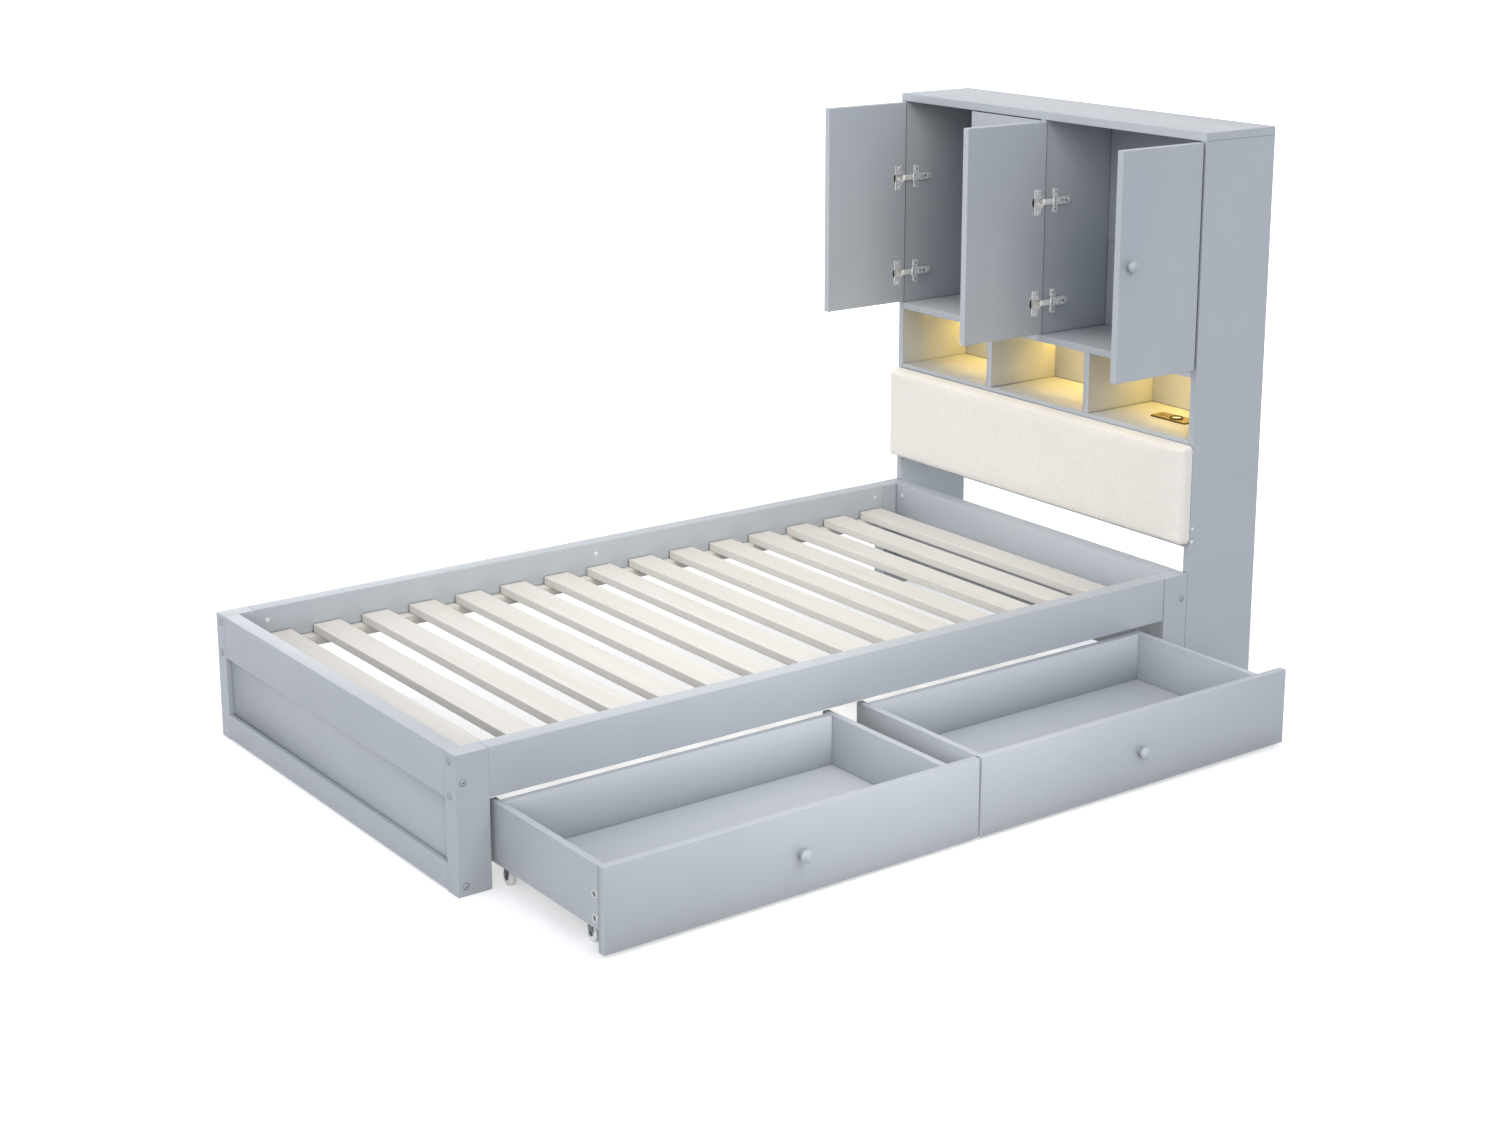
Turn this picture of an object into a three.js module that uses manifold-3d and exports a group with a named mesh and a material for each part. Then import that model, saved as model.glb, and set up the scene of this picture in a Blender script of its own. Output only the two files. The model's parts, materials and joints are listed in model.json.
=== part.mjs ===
// A single bed with two rolling drawers and a storage headboard. Millimetres, +Z up.
// In the bed's own group X = 0 is its centre line, Y = 0 the face of the foot end, Z = 0 the floor, and +X
// the side with the drawers. It stands as photographed: drawers out, doors 1, 3 and 4 open, door 2 shut.
import * as THREE from "three";
import { mergeVertices } from "three/addons/utils/BufferGeometryUtils.js";
import Module from "manifold-3d";

const kernel = await Module();
kernel.setup();

const halves = 2;
const quarterTurn = Math.PI / halves;

// Bed frame
const frameWidth = 1096, frameLength = 1988, frameTop = 295;
const legAcross = 42, legAlong = 76, legEdge = 2;
const railInset = 2, railHeight = 105;
const endPanelThick = 36, footTopRailTall = 98, footBottomRailTall = 57, footLift = 3;
const infillThick = 12, infillTongue = 8, headPanelLift = 60;
const ledgerAcross = 25, ledgerTall = 25, ledgerEndGap = 4;
const slatCount = 15, slatAlong = 68, slatThick = 20, slatSideGap = 3, slatEndInset = 93.4, slatSeat = 0.5;
const fitGap = 0.3, overrun = 1;

// Headboard
const boardThick = 18, topThick = 20, boxHeight = 1345, boxDepth = 229;
const backThick = 4, seamWide = 1, seamDeep = 1, seamFromTop = 339;
const cabinetFloorTop = 787, nicheFloorTop = 618, nicheCount = 3;
const cushionBottom = 366, cushionTop = 607, cushionSideInset = 2;
const cushionThick = 32, cushionCrown = 4, cushionEdge = 11, cushionDrawIn = 1.6;
const cushionRows = { across: 26, through: 6, up: 12 };
const cushionRowShare = 0.3, crownPower = 4;
const cushionRailTall = 65, cushionRailDrop = 10;
const lightAcross = 12, lightThick = 4, lightNotchGap = 0.5;
const chargerLong = 120, chargerDeep = 50, chargerLip = 4, chargerCorner = 8;
const chargerBodyDrop = 35, chargerBodyInset = 8, chargerFromSide = 174, chargerFromBack = 94;
const socketRadius = 17, socketWall = 3, socketRise = 3, socketShift = 8, socketFloor = 1;

// Doors
const doorThick = 18, doorGap = 3, outerDoorShift = 5, middleDoorShift = 9;
const knobFromEdge = 30, knobFromDoorTop = 262;
const knobRadius = 14, knobNeck = 7, knobBase = 10, knobBaseThick = 3, knobNeckLong = 7;
const knobSteps = { underWide: 12.8, underThick: 3, rimThick: 6, domeWide: 8.7, domeRise: 4.6, tipRise: 1.4 };

// Concealed hinges
const hingeFromBottom = 80, hingeFromTop = 198;
const pinRadius = 2, runningGap = 0.1, eyeRadius = 3;
const neckThick = 3, neckTall = 14, neckTipTall = 7, neckReach = 33, neckBend = 4;
const neckOpenGap = 1, neckShutGap = 1.5, neckTipGap = 1.5;
const cupDepth = 11.5, cupSideGap = 0.45, cupRim = 2, cupRise = 0.6;
const flangeWide = 14, flangeTall = 64, flangeRise = 1;
const cheekReach = 3.4, cheekThick = 2, cheekGap = 0.5, armFromPin = 5, armLong = 47, armTall = 16;
const armSlope = 14, armTailHeight = 6;
const plateFromArm = 10, plateWingWide = 16, plateWingTall = 56, plateThick = 2.5;
const plateLong = 40, plateStep = 3, sink = 0.5;

// Drawers
const drawerReach = 393, drawerLift = 8, drawerTop = 182, drawerEndGap = 8, drawerMiddleGap = 6;
const drawerFrontThick = 18, drawerWall = 16, drawerDepth = 411, drawerOverhang = 71;
const drawerSideLift = 52, drawerSideDrop = 1, drawerBackInset = 18, knobFromDrawerTop = 90;
const drawerBottomLift = 61, drawerBottomThick = 8, grooveDepth = 6;

// Casters
const wheelRadius = 17, wheelWide = 12, wheelEdge = 1.5, hubRadius = 6, hubRise = 0.6, axleRadius = 3;
const forkGap = 1.2, forkWall = 2, forkPlateThick = 3, forkPlateLong = 38;
const forkBelowAxle = 5, forkFootHalf = 8, forkTopHalf = 13;
const casterFromSide = 29, casterFromFront = 79, casterFromBack = 24;

// Sides of each full round, then half the sides of each quarter arc
const facets = { knob: 20, pin: 16, wheel: 24, cup: 28, socket: 28 };
const arcFacets = { legEdge: 1, chargerCorner: 2, wing: 2, bend: 2 };

// Materials
const paint = new THREE.MeshStandardMaterial({ color: 0xaab0b8, roughness: 0.45 });
const slatWood = new THREE.MeshStandardMaterial({ color: 0xe6e1d9, roughness: 0.7 });
const linen = new THREE.MeshStandardMaterial({ color: 0xece5de, roughness: 0.95 });
const nickel = new THREE.MeshStandardMaterial({ color: 0xc8c9cc, roughness: 0.25, metalness: 1 });
const whitePlastic = new THREE.MeshStandardMaterial({ color: 0xe9e9e6, roughness: 0.4 });
const blackPlastic = new THREE.MeshStandardMaterial({ color: 0x26262a, roughness: 0.35 });
const warmLight = new THREE.MeshStandardMaterial({ color: 0xffe9b0, roughness: 0.4 });

// Places worked out from the sizes
const legOut = frameWidth / halves, legIn = legOut - legAcross;
const railOut = legOut - railInset, railIn = legIn + railInset, railBottom = frameTop - railHeight;
const headLegStart = frameLength - legAlong;
const front = frameLength, rear = front + boxDepth, backFace = rear - backThick;
const sideIn = legOut - boardThick, boxTop = boxHeight - topThick;
const cabinetFloorBottom = cabinetFloorTop - boardThick, nicheFloorBottom = nicheFloorTop - boardThick;
const partitionHalf = boardThick / halves;
const doorBottom = cabinetFloorTop + doorGap, doorTop = boxTop - doorGap;
const doorWidth = (sideIn - partitionHalf - doorGap * (halves + 1)) / halves;
const hingeHeights = { lower: doorBottom + hingeFromBottom, upper: doorTop - hingeFromTop };
const drawerFrontWidth = (headLegStart - legAlong - drawerEndGap * halves - drawerMiddleGap) / halves;
const drawerBoxWidth = drawerFrontWidth - drawerOverhang;

const sides = { left: -1, right: 1 };
const pair = (a, b) => [Math.min(a, b), Math.max(a, b)];
const about = (middle, size) => [middle - size / halves, middle + size / halves];
const grown = ([low, high], by) => [low - by, high + by];

// Shapes

// Each corner takes its place straight from the pairs, so two boards with a face in common share it exactly.
function box(x, y, z) {
  const geometry = new THREE.BoxGeometry(1, 1, 1);
  const p = geometry.getAttribute("position");
  const pick = (list, value) => list[value > 0 ? 1 : 0];
  for (let i = 0; i < p.count; i++) p.setXYZ(i, pick(x, p.getX(i)), pick(y, p.getY(i)), pick(z, p.getZ(i)));
  return geometry;
}

function roundedOutline([x0, x1], [y0, y1], r) {
  const outline = new THREE.Shape();
  outline.absarc(x1 - r, y0 + r, r, -quarterTurn, 0);
  outline.absarc(x1 - r, y1 - r, r, 0, quarterTurn);
  outline.absarc(x0 + r, y1 - r, r, quarterTurn, quarterTurn * halves);
  outline.absarc(x0 + r, y0 + r, r, quarterTurn * halves, -quarterTurn);
  return outline;
}

function extruded(outline, depth, curveSegments) {
  return new THREE.ExtrudeGeometry(outline, { depth, curveSegments, bevelEnabled: false });
}

function roundedPost(x, y, [low, high], radius, segments) {
  return extruded(roundedOutline(x, y, radius), high - low, segments).translate(0, 0, low);
}

// A closed turning about +Z from [radius, height] pairs.
function turned(profile, segments) {
  const points = profile.map(([r, h]) => new THREE.Vector2(r, h));
  return new THREE.LatheGeometry(points, segments).rotateX(quarterTurn);
}

// A round bar along +Z that starts at z = 0.
function rod(radius, length, segments) {
  return new THREE.CylinderGeometry(radius, radius, length, segments)
    .rotateX(quarterTurn)
    .translate(0, 0, length / halves);
}

function solidFrom(geometry) {
  const bare = geometry.index ? geometry.toNonIndexed() : geometry.clone();
  for (const name of Object.keys(bare.attributes)) if (name !== "position") bare.deleteAttribute(name);
  const merged = mergeVertices(bare);
  return new kernel.Manifold(new kernel.Mesh({
    numProp: 3,
    vertProperties: new Float32Array(merged.attributes.position.array),
    triVerts: new Uint32Array(merged.index.array),
  }));
}

// One closed geometry: what is added, less what is cut away.
function shaped(added, cutAway = []) {
  let solid = kernel.Manifold.union(added.map(solidFrom));
  if (cutAway.length) solid = solid.subtract(kernel.Manifold.union(cutAway.map(solidFrom)));
  const { vertProperties, triVerts } = solid.getMesh();
  const geometry = new THREE.BufferGeometry();
  geometry.setAttribute("position", new THREE.BufferAttribute(vertProperties, 3));
  geometry.setIndex(new THREE.BufferAttribute(triVerts, 1));
  const flat = geometry.toNonIndexed();
  flat.computeVertexNormals();
  return flat;
}

function add(group, name, geometry, material) {
  const mesh = new THREE.Mesh(geometry, material);
  mesh.name = name;
  group.add(mesh);
  return mesh;
}

// Bed frame

function legs(group) {
  for (const [side, s] of Object.entries(sides)) {
    const x = pair(s * legIn, s * legOut);
    const leg = (y) => roundedPost(x, y, [0, frameTop], legEdge, arcFacets.legEdge);
    add(group, `leg_foot_${side}`, leg([0, legAlong]), paint);
    add(group, `leg_head_${side}`, leg([headLegStart, frameLength]), paint);
  }
}

function sideRails(group) {
  for (const [side, s] of Object.entries(sides)) {
    const rail = box(pair(s * railIn, s * railOut), [legAlong, headLegStart], [railBottom, frameTop]);
    add(group, `side_rail_${side}`, rail, paint);
  }
}

// Two rails, grooved for the thin panel between them.
function footEnd(group) {
  const x = [-legIn, legIn], y = [0, endPanelThick];
  const topRailStart = frameTop - footTopRailTall, bottomRailEnd = footLift + footBottomRailTall;
  const panelY = about(endPanelThick / halves, infillThick);
  const groove = box(grown(x, overrun), grown(panelY, fitGap),
    [bottomRailEnd - infillTongue - fitGap, topRailStart + infillTongue + fitGap]);
  add(group, "foot_top_rail", shaped([box(x, y, [topRailStart, frameTop])], [groove]), paint);
  add(group, "foot_bottom_rail", shaped([box(x, y, [footLift, bottomRailEnd])], [groove]), paint);
  const panel = box(grown(x, -fitGap), panelY, [bottomRailEnd - infillTongue, topRailStart + infillTongue]);
  add(group, "foot_infill_panel", panel, paint);
}

function headPanel(group) {
  const panel = box([-legIn, legIn], [frameLength - endPanelThick, frameLength], [headPanelLift, frameTop]);
  add(group, "head_panel", panel, paint);
}

// Slats let into the tops of the two ledgers that carry them.
function slatBase(group) {
  const ledgerTop = railBottom + ledgerTall;
  const pitch = (frameLength - slatEndInset * halves - slatAlong) / (slatCount - 1);
  const ledgerY = [legAlong + ledgerEndGap, headLegStart - ledgerEndGap];
  const parts = Object.values(sides).map((s) =>
    box(pair(s * (railIn - ledgerAcross), s * railIn), ledgerY, [railBottom, ledgerTop]));
  for (let i = 0; i < slatCount; i++) {
    const start = slatEndInset + i * pitch;
    const x = grown([-railIn, railIn], -slatSideGap);
    parts.push(box(x, [start, start + slatAlong], [ledgerTop - slatSeat, ledgerTop + slatThick]));
  }
  add(group, "slat_base", shaped(parts), slatWood);
}

// Concealed hinges
// Each is drawn about its own origin: x = 0 the face of the board that carries it, y = 0 the headboard's
// front plane, z = 0 the hinge's height, with the opening towards +x and the cabinet towards +y.

// Where the open leaf ends up fixes the pivot; the pin stands clear of the leaf both open and shut.
function hingePlan(shift) {
  const pivot = { x: (shift - doorThick) / halves, y: (doorThick - shift) / halves };
  const pin = {
    x: shift + flangeRise + neckOpenGap + neckThick / halves,
    y: doorThick + flangeRise + neckShutGap + neckThick / halves,
  };
  const shutTip = pin.x + neckReach;
  const openTip = pivot.x + pivot.y - pin.y + neckReach;
  const travel = (shutTip - openTip + neckThick) / halves;
  const cupRadius = Math.hypot(travel, neckTipTall / halves) + cupSideGap;
  const cup = { x: (shutTip + openTip) / halves, radius: cupRadius };
  return { pivot, pin, cup };
}

// Half a turn about z = 0's own y axis takes the drawing to the other side of an opening.
const facing = (geometry, s) => (s < 0 ? geometry.rotateY(quarterTurn * halves) : geometry);

// Mounting plate with two wings, a sloped arm, and two cheeks that hold the pin.
function hingeArm(plan) {
  const { pin } = plan;
  const armY = pin.y + armFromPin, plateY = armY + plateFromArm, top = pin.x + cheekReach;
  const wings = roundedOutline(about(0, plateWingWide), about(0, plateWingTall), plateWingWide / halves);
  const wingPlate = extruded(wings, plateThick + sink, arcFacets.wing);
  wingPlate.applyMatrix4(new THREE.Matrix4().makeBasis(
    new THREE.Vector3(0, 1, 0), new THREE.Vector3(0, 0, 1), new THREE.Vector3(1, 0, 0)));
  const arm = new THREE.Shape();
  arm.moveTo(sink, armY);
  arm.lineTo(top, armY);
  arm.lineTo(top, armY + armLong - armSlope);
  arm.lineTo(armTailHeight, armY + armLong);
  arm.lineTo(sink, armY + armLong);
  arm.closePath();
  const cheekZ = neckTall / halves + cheekGap;
  const parts = [
    wingPlate.translate(-sink, plateY, 0),
    box([-sink, plateStep], about(plateY + plateLong / halves - plateWingWide / halves, plateLong),
      about(0, armTall)),
    extruded(arm, armTall, 1).translate(0, 0, -armTall / halves),
    rod(pinRadius, (cheekZ + cheekThick) * halves, facets.pin).translate(pin.x, pin.y, -cheekZ - cheekThick),
  ];
  for (const s of Object.values(sides))
    parts.push(box([pin.x - cheekReach, top], [pin.y - cheekReach, armY + sink],
      pair(s * cheekZ, s * (cheekZ + cheekThick))));
  return shaped(parts);
}

// A goose neck about its pin at the origin: out over the leaf, round the bend and down into the cup.
function hingeNeck() {
  const half = neckThick / halves;
  const drop = doorThick + flangeRise + neckShutGap + half - (doorThick - cupDepth + neckTipGap);
  const outline = new THREE.Shape();
  outline.moveTo(0, -half);
  outline.lineTo(neckReach - half, -half);
  outline.lineTo(neckReach - half, -drop);
  outline.lineTo(neckReach + half, -drop);
  outline.lineTo(neckReach + half, half - neckBend);
  outline.absarc(neckReach + half - neckBend, half - neckBend, neckBend, 0, quarterTurn);
  outline.lineTo(0, half);
  outline.closePath();
  const low = -neckTall / halves;
  const tipSides = Object.values(sides).map((s) =>
    box([neckReach - neckTall, neckReach + neckTall], [-drop - overrun, -half],
      pair(s * neckTipTall / halves, s * neckTall)));
  const hole = rod(pinRadius + runningGap, neckTall + overrun * halves, facets.pin);
  return shaped([
    extruded(outline, neckTall, arcFacets.bend).translate(0, 0, low),
    rod(eyeRadius, neckTall, facets.pin).translate(0, 0, low),
  ], [hole.translate(0, 0, low - overrun), ...tipSides]);
}

// Headboard

const doors = [
  { number: 1, face: -sideIn, s: 1, shift: outerDoorShift, open: true },
  { number: 2, face: -partitionHalf, s: -1, shift: middleDoorShift, open: false },
  { number: 3, face: partitionHalf, s: 1, shift: middleDoorShift, open: true },
  { number: 4, face: sideIn, s: -1, shift: outerDoorShift, open: true },
];

function armsOn(carried) {
  return carried.flatMap(({ face, s, shift }) => Object.values(hingeHeights).map((height) =>
    facing(hingeArm(hingePlan(shift)), s).translate(face, front, height)));
}

function headboardBox(group) {
  const y = [front, backFace];
  for (const [side, s] of Object.entries(sides)) {
    const board = box(pair(s * sideIn, s * legOut), [front, rear], [0, boxTop]);
    add(group, `headboard_side_${side}`, shaped([board, ...armsOn([s < 0 ? doors[0] : doors[3]])]), paint);
  }
  add(group, "headboard_top", box([-legOut, legOut], [front, rear], [boxTop, boxHeight]), paint);
  add(group, "cabinet_floor", box([-sideIn, sideIn], y, [cabinetFloorBottom, cabinetFloorTop]), paint);
  const partition = box([-partitionHalf, partitionHalf], y, [cabinetFloorTop, boxTop]);
  add(group, "cabinet_partition", shaped([partition, ...armsOn([doors[1], doors[2]])]), paint);
  const cushionRail = box([-sideIn, sideIn], [front, front + boardThick],
    [cushionBottom - cushionRailDrop, cushionBottom - cushionRailDrop + cushionRailTall]);
  add(group, "cushion_rail", cushionRail, paint);
}

// Two hardboard sheets that meet in a seam, held as one.
function backPanel(group) {
  const seamZ = about(boxHeight - seamFromTop, seamWide);
  const seams = [backFace, rear].map((y) =>
    box(grown([-sideIn, sideIn], overrun), about(y, seamDeep * halves), seamZ));
  const panel = box([-sideIn, sideIn], [backFace, rear], [nicheFloorBottom, boxTop]);
  add(group, "back_panel", shaped([panel], seams), paint);
}

// The light runs under the cabinet floor through a notch in each divider.
function nichesAndLight(group) {
  const lightX = grown([-sideIn, sideIn], -fitGap);
  const lightZ = [cabinetFloorBottom - lightThick, cabinetFloorBottom];
  add(group, "led_strip", box(lightX, [backFace - lightAcross, backFace], lightZ), warmLight);
  const notch = box(lightX, [backFace - lightAcross - lightNotchGap, backFace + overrun],
    [cabinetFloorBottom - lightThick - lightNotchGap, cabinetFloorBottom + overrun]);
  const nicheWidth = (sideIn * halves - boardThick * (nicheCount - 1)) / nicheCount;
  const dividerX = (nicheWidth + boardThick) / halves;
  for (const [side, s] of Object.entries(sides)) {
    const x = about(s * dividerX, boardThick);
    const divider = box(x, [front, backFace], [nicheFloorTop, cabinetFloorBottom]);
    add(group, `niche_divider_${side}`, shaped([divider], [notch]), paint);
  }
}

// The niche floor is cut through for the charging station's body; its lip and round socket stand on top.
function nicheFloorAndCharger(group) {
  const x = sideIn - chargerFromSide, y = backFace - chargerFromBack;
  const bodyX = about(x, chargerLong - chargerBodyInset * halves);
  const bodyY = about(y, chargerDeep - chargerBodyInset * halves);
  const hole = box(grown(bodyX, fitGap), grown(bodyY, fitGap),
    [nicheFloorBottom - overrun, nicheFloorTop + overrun]);
  const floor = box([-sideIn, sideIn], [front, backFace], [nicheFloorBottom, nicheFloorTop]);
  add(group, "niche_floor", shaped([floor], [hole]), paint);

  const lip = roundedPost(about(x, chargerLong), about(y, chargerDeep),
    [nicheFloorTop, nicheFloorTop + chargerLip], chargerCorner, arcFacets.chargerCorner);
  const body = box(bodyX, bodyY, [nicheFloorTop - chargerBodyDrop, nicheFloorTop + socketFloor]);
  const ringLong = chargerLip - socketFloor + socketRise;
  const ring = rod(socketRadius, ringLong, facets.socket);
  const bore = rod(socketRadius - socketWall, ringLong + overrun, facets.socket);
  for (const part of [ring, bore]) part.translate(x + socketShift, y, nicheFloorTop + socketFloor);
  add(group, "charging_station", shaped([lip, body, ring], [bore]), blackPlastic);
}

// A padded board: flat back, rounded edges, crowned face, sides drawn in between back and face.
function cushion(group) {
  const { across, through, up } = cushionRows;
  const half = { x: legOut - cushionSideInset, z: (cushionTop - cushionBottom) / halves };
  const core = { x: half.x - cushionEdge, z: half.z - cushionEdge };
  // Rows crowd into the rounding at each end; t runs from 0 to 1.
  const spread = (t, count, outer, inner) => {
    const i = Math.round(t * count);
    const edge = [outer, outer - cushionEdge * cushionRowShare];
    if (i < edge.length) return -edge[i];
    if (count - i < edge.length) return edge[count - i];
    return inner * (halves * (i - edge.length) / (count - edge.length * halves) - 1);
  };
  const pad = new THREE.BoxGeometry(1, 1, 1, across, through, up);
  const p = pad.getAttribute("position");
  const toShare = (value) => value + 1 / halves;
  for (let i = 0; i < p.count; i++) {
    const depth = 1 - toShare(p.getY(i)); // 0 at the back, 1 at the face
    const x = spread(toShare(p.getX(i)), across, half.x, core.x);
    const z = spread(toShare(p.getZ(i)), up, half.z, core.z);
    const over = { x: Math.max(0, Math.abs(x) - core.x), z: Math.max(0, Math.abs(z) - core.z) };
    const reach = Math.hypot(over.x, over.z);
    const rim = Math.min(1, reach / cushionEdge); // 0 on the flat, 1 on the side wall
    const round = reach > cushionEdge ? cushionEdge / reach : 1;
    const forward = Math.max(0, depth * halves - 1); // 0 up to mid depth, 1 at the face
    const drawIn = cushionDrawIn * Math.sin(Math.PI * depth) * rim;
    const roll = cushionEdge * (1 - Math.sqrt(1 - forward * forward * rim * rim)) * rim / halves;
    const pull = (drawIn + roll) / (reach || 1);
    const crown = cushionCrown * (1 - (x / half.x) ** crownPower) * (1 - (z / half.z) ** crownPower);
    const fall = cushionEdge * (1 - Math.sqrt(1 - rim * rim)) / halves;
    p.setXYZ(i,
      x - Math.sign(x) * over.x * (1 - round + round * pull),
      front - cushionThick * depth - forward * (crown - fall),
      (cushionTop + cushionBottom) / halves + z - Math.sign(z) * over.z * (1 - round + round * pull));
  }
  add(group, "cushion", shaped([pad]), linen);
}

// Doors

// A turned knob whose foot is at z = 0.
function knob() {
  const { underWide, underThick, rimThick, domeWide, domeRise, tipRise } = knobSteps;
  const under = knobBaseThick + knobNeckLong, rim = under + underThick, dome = rim + rimThick;
  return turned([
    [0, 0], [knobBase, 0], [knobBase, knobBaseThick], [knobNeck, knobBaseThick], [knobNeck, under],
    [underWide, under], [underWide, rim], [knobRadius, rim], [knobRadius, dome],
    [domeWide, dome + domeRise], [0, dome + domeRise + tipRise],
  ], facets.knob);
}

// The leaf with both hinge cups let into its back, drawn shut about its pivot.
function doorLeaf(plan, s) {
  const edge = doorGap - plan.pivot.x, inside = doorThick - plan.pivot.y;
  const cupX = s * (plan.cup.x - plan.pivot.x);
  const parts = [box(pair(s * edge, s * (edge + doorWidth)), [-plan.pivot.y, inside], [doorBottom, doorTop])];
  const pockets = [];
  for (const height of Object.values(hingeHeights)) {
    const flange = extruded(roundedOutline(about(0, flangeWide), about(0, flangeTall), flangeWide / halves),
      flangeRise * halves, arcFacets.wing);
    const rim = rod(plan.cup.radius + cupRim, cupRise * halves, facets.cup);
    const pocket = rod(plan.cup.radius, cupDepth * halves, facets.cup);
    parts.push(flange.rotateX(-quarterTurn).translate(cupX, inside - flangeRise, height));
    parts.push(rim.rotateX(-quarterTurn).translate(cupX, inside - cupRise, height));
    pockets.push(pocket.rotateX(-quarterTurn).translate(cupX, inside - cupDepth, height));
  }
  return shaped(parts, pockets);
}

// The leaf turns about its pivot and the necks about their pins, by the same angle.
function doorAssembly(group, { number, face, s, shift, open }) {
  const plan = hingePlan(shift);
  const angle = open ? -s * quarterTurn : 0;
  const swing = new THREE.Group();
  swing.position.set(face + s * plan.pivot.x, front + plan.pivot.y, 0);
  swing.rotation.z = angle;
  add(swing, `door_${number}`, doorLeaf(plan, s), paint);
  const knobX = s * (doorGap + doorWidth - knobFromEdge - plan.pivot.x);
  const doorKnob = knob().rotateX(quarterTurn).translate(knobX, -plan.pivot.y, doorTop - knobFromDoorTop);
  add(swing, `door_knob_${number}`, doorKnob, paint);
  group.add(swing);

  const pins = new THREE.Group();
  pins.position.set(face + s * plan.pin.x, front + plan.pin.y, 0);
  pins.rotation.z = angle;
  for (const [level, height] of Object.entries(hingeHeights))
    add(pins, `hinge_neck_${number}_${level}`, facing(hingeNeck(), s), nickel).position.z = height;
  group.add(pins);
}

// Drawers
// Drawn shut: x = 0 is the outer face of the front, y = 0 its left end.

function drawer(group, number) {
  const pulled = new THREE.Group();
  const step = drawerFrontWidth + drawerMiddleGap;
  pulled.position.set(railOut + drawerReach, legAlong + drawerEndGap + (number - 1) * step, 0);
  drawerBox(pulled, `drawer_${number}_`);
  drawerCasters(pulled, `drawer_${number}_`);
  group.add(pulled);
}

function drawerBox(group, name) {
  const frontBack = -drawerFrontThick, tail = -drawerDepth, sideTop = drawerTop - drawerSideDrop;
  const inner = [drawerWall, drawerBoxWidth - drawerWall];
  const groove = box([tail - overrun, frontBack + grooveDepth + fitGap], grown(inner, grooveDepth + fitGap),
    grown([drawerBottomLift, drawerBottomLift + drawerBottomThick], fitGap));
  const frontBoard = box([frontBack, 0], [0, drawerFrontWidth], [drawerLift, drawerTop]);
  add(group, `${name}front`, shaped([frontBoard], [groove]), paint);
  const walls = { side_left: [0, drawerWall], side_right: [drawerBoxWidth - drawerWall, drawerBoxWidth] };
  for (const [side, y] of Object.entries(walls))
    add(group, name + side, shaped([box([tail, frontBack], y, [drawerSideLift, sideTop])], [groove]), paint);
  const backX = [tail + drawerBackInset, tail + drawerBackInset + drawerWall];
  add(group, `${name}back`, box(backX, inner, [drawerBottomLift + drawerBottomThick, sideTop]), paint);
  const place = [0, drawerFrontWidth / halves, drawerTop - knobFromDrawerTop];
  add(group, `${name}knob`, knob().rotateY(quarterTurn).translate(...place), paint);
}

// The bottom board carries a fixed fork and axle under each corner, and a wheel turns on each axle.
function drawerCasters(group, name) {
  const tail = -drawerDepth;
  const bottom = [box([tail, -drawerFrontThick + grooveDepth],
    grown([drawerWall, drawerBoxWidth - drawerWall], grooveDepth),
    [drawerBottomLift, drawerBottomLift + drawerBottomThick])];
  let number = 0;
  for (const x of [tail + casterFromBack, -casterFromFront])
    for (const y of [casterFromSide, drawerBoxWidth - casterFromSide]) {
      number += 1;
      bottom.push(...casterFork().map((part) => part.translate(x, y, 0)));
      add(group, `${name}wheel_${number}`, casterWheel(), whitePlastic).position.set(x, y, wheelRadius);
    }
  add(group, `${name}bottom`, shaped(bottom), paint);
}

function casterFork() {
  const inner = wheelWide / halves + forkGap, outer = inner + forkWall;
  const top = drawerBottomLift, plateBottom = top - forkPlateThick;
  const outline = new THREE.Shape();
  outline.moveTo(-forkFootHalf, wheelRadius - forkBelowAxle);
  outline.lineTo(forkFootHalf, wheelRadius - forkBelowAxle);
  outline.lineTo(forkTopHalf, plateBottom + sink);
  outline.lineTo(-forkTopHalf, plateBottom + sink);
  outline.closePath();
  const cheek = () => extruded(outline, forkWall, 1).rotateX(quarterTurn);
  return [
    box(about(0, forkPlateLong), [-outer, outer], [plateBottom, top + sink]),
    cheek().translate(0, -inner, 0),
    cheek().translate(0, outer, 0),
    rod(axleRadius, outer * halves, facets.pin).rotateX(quarterTurn).translate(0, outer, wheelRadius),
  ];
}

function casterWheel() {
  const half = wheelWide / halves, hole = axleRadius + runningGap;
  return turned([
    [hole, -half - hubRise], [hubRadius, -half - hubRise], [hubRadius, -half],
    [wheelRadius - wheelEdge, -half], [wheelRadius, wheelEdge - half], [wheelRadius, half - wheelEdge],
    [wheelRadius - wheelEdge, half], [hubRadius, half], [hubRadius, half + hubRise],
    [hole, half + hubRise], [hole, -half - hubRise],
  ], facets.wheel).rotateX(-quarterTurn);
}

// The whole bed

const bed = new THREE.Group();
for (const part of [legs, sideRails, footEnd, headPanel, slatBase]) part(bed);
for (const part of [headboardBox, backPanel, nichesAndLight, nicheFloorAndCharger, cushion]) part(bed);
for (const door of doors) doorAssembly(bed, door);
drawer(bed, 1);
drawer(bed, 2);

// The origin goes to the middle of the floor space under everything as it stands.
const bounds = new THREE.Box3().setFromObject(bed);
const middle = bounds.getCenter(new THREE.Vector3());
bed.position.set(-middle.x, -middle.y, -bounds.min.z);

const model = new THREE.Group();
model.name = "bed_with_storage_headboard";
model.add(bed);

export default model;
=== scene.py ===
import json
from math import cos, pi, radians, sin

import bmesh
import bpy
from mathutils import Matrix, Vector


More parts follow.
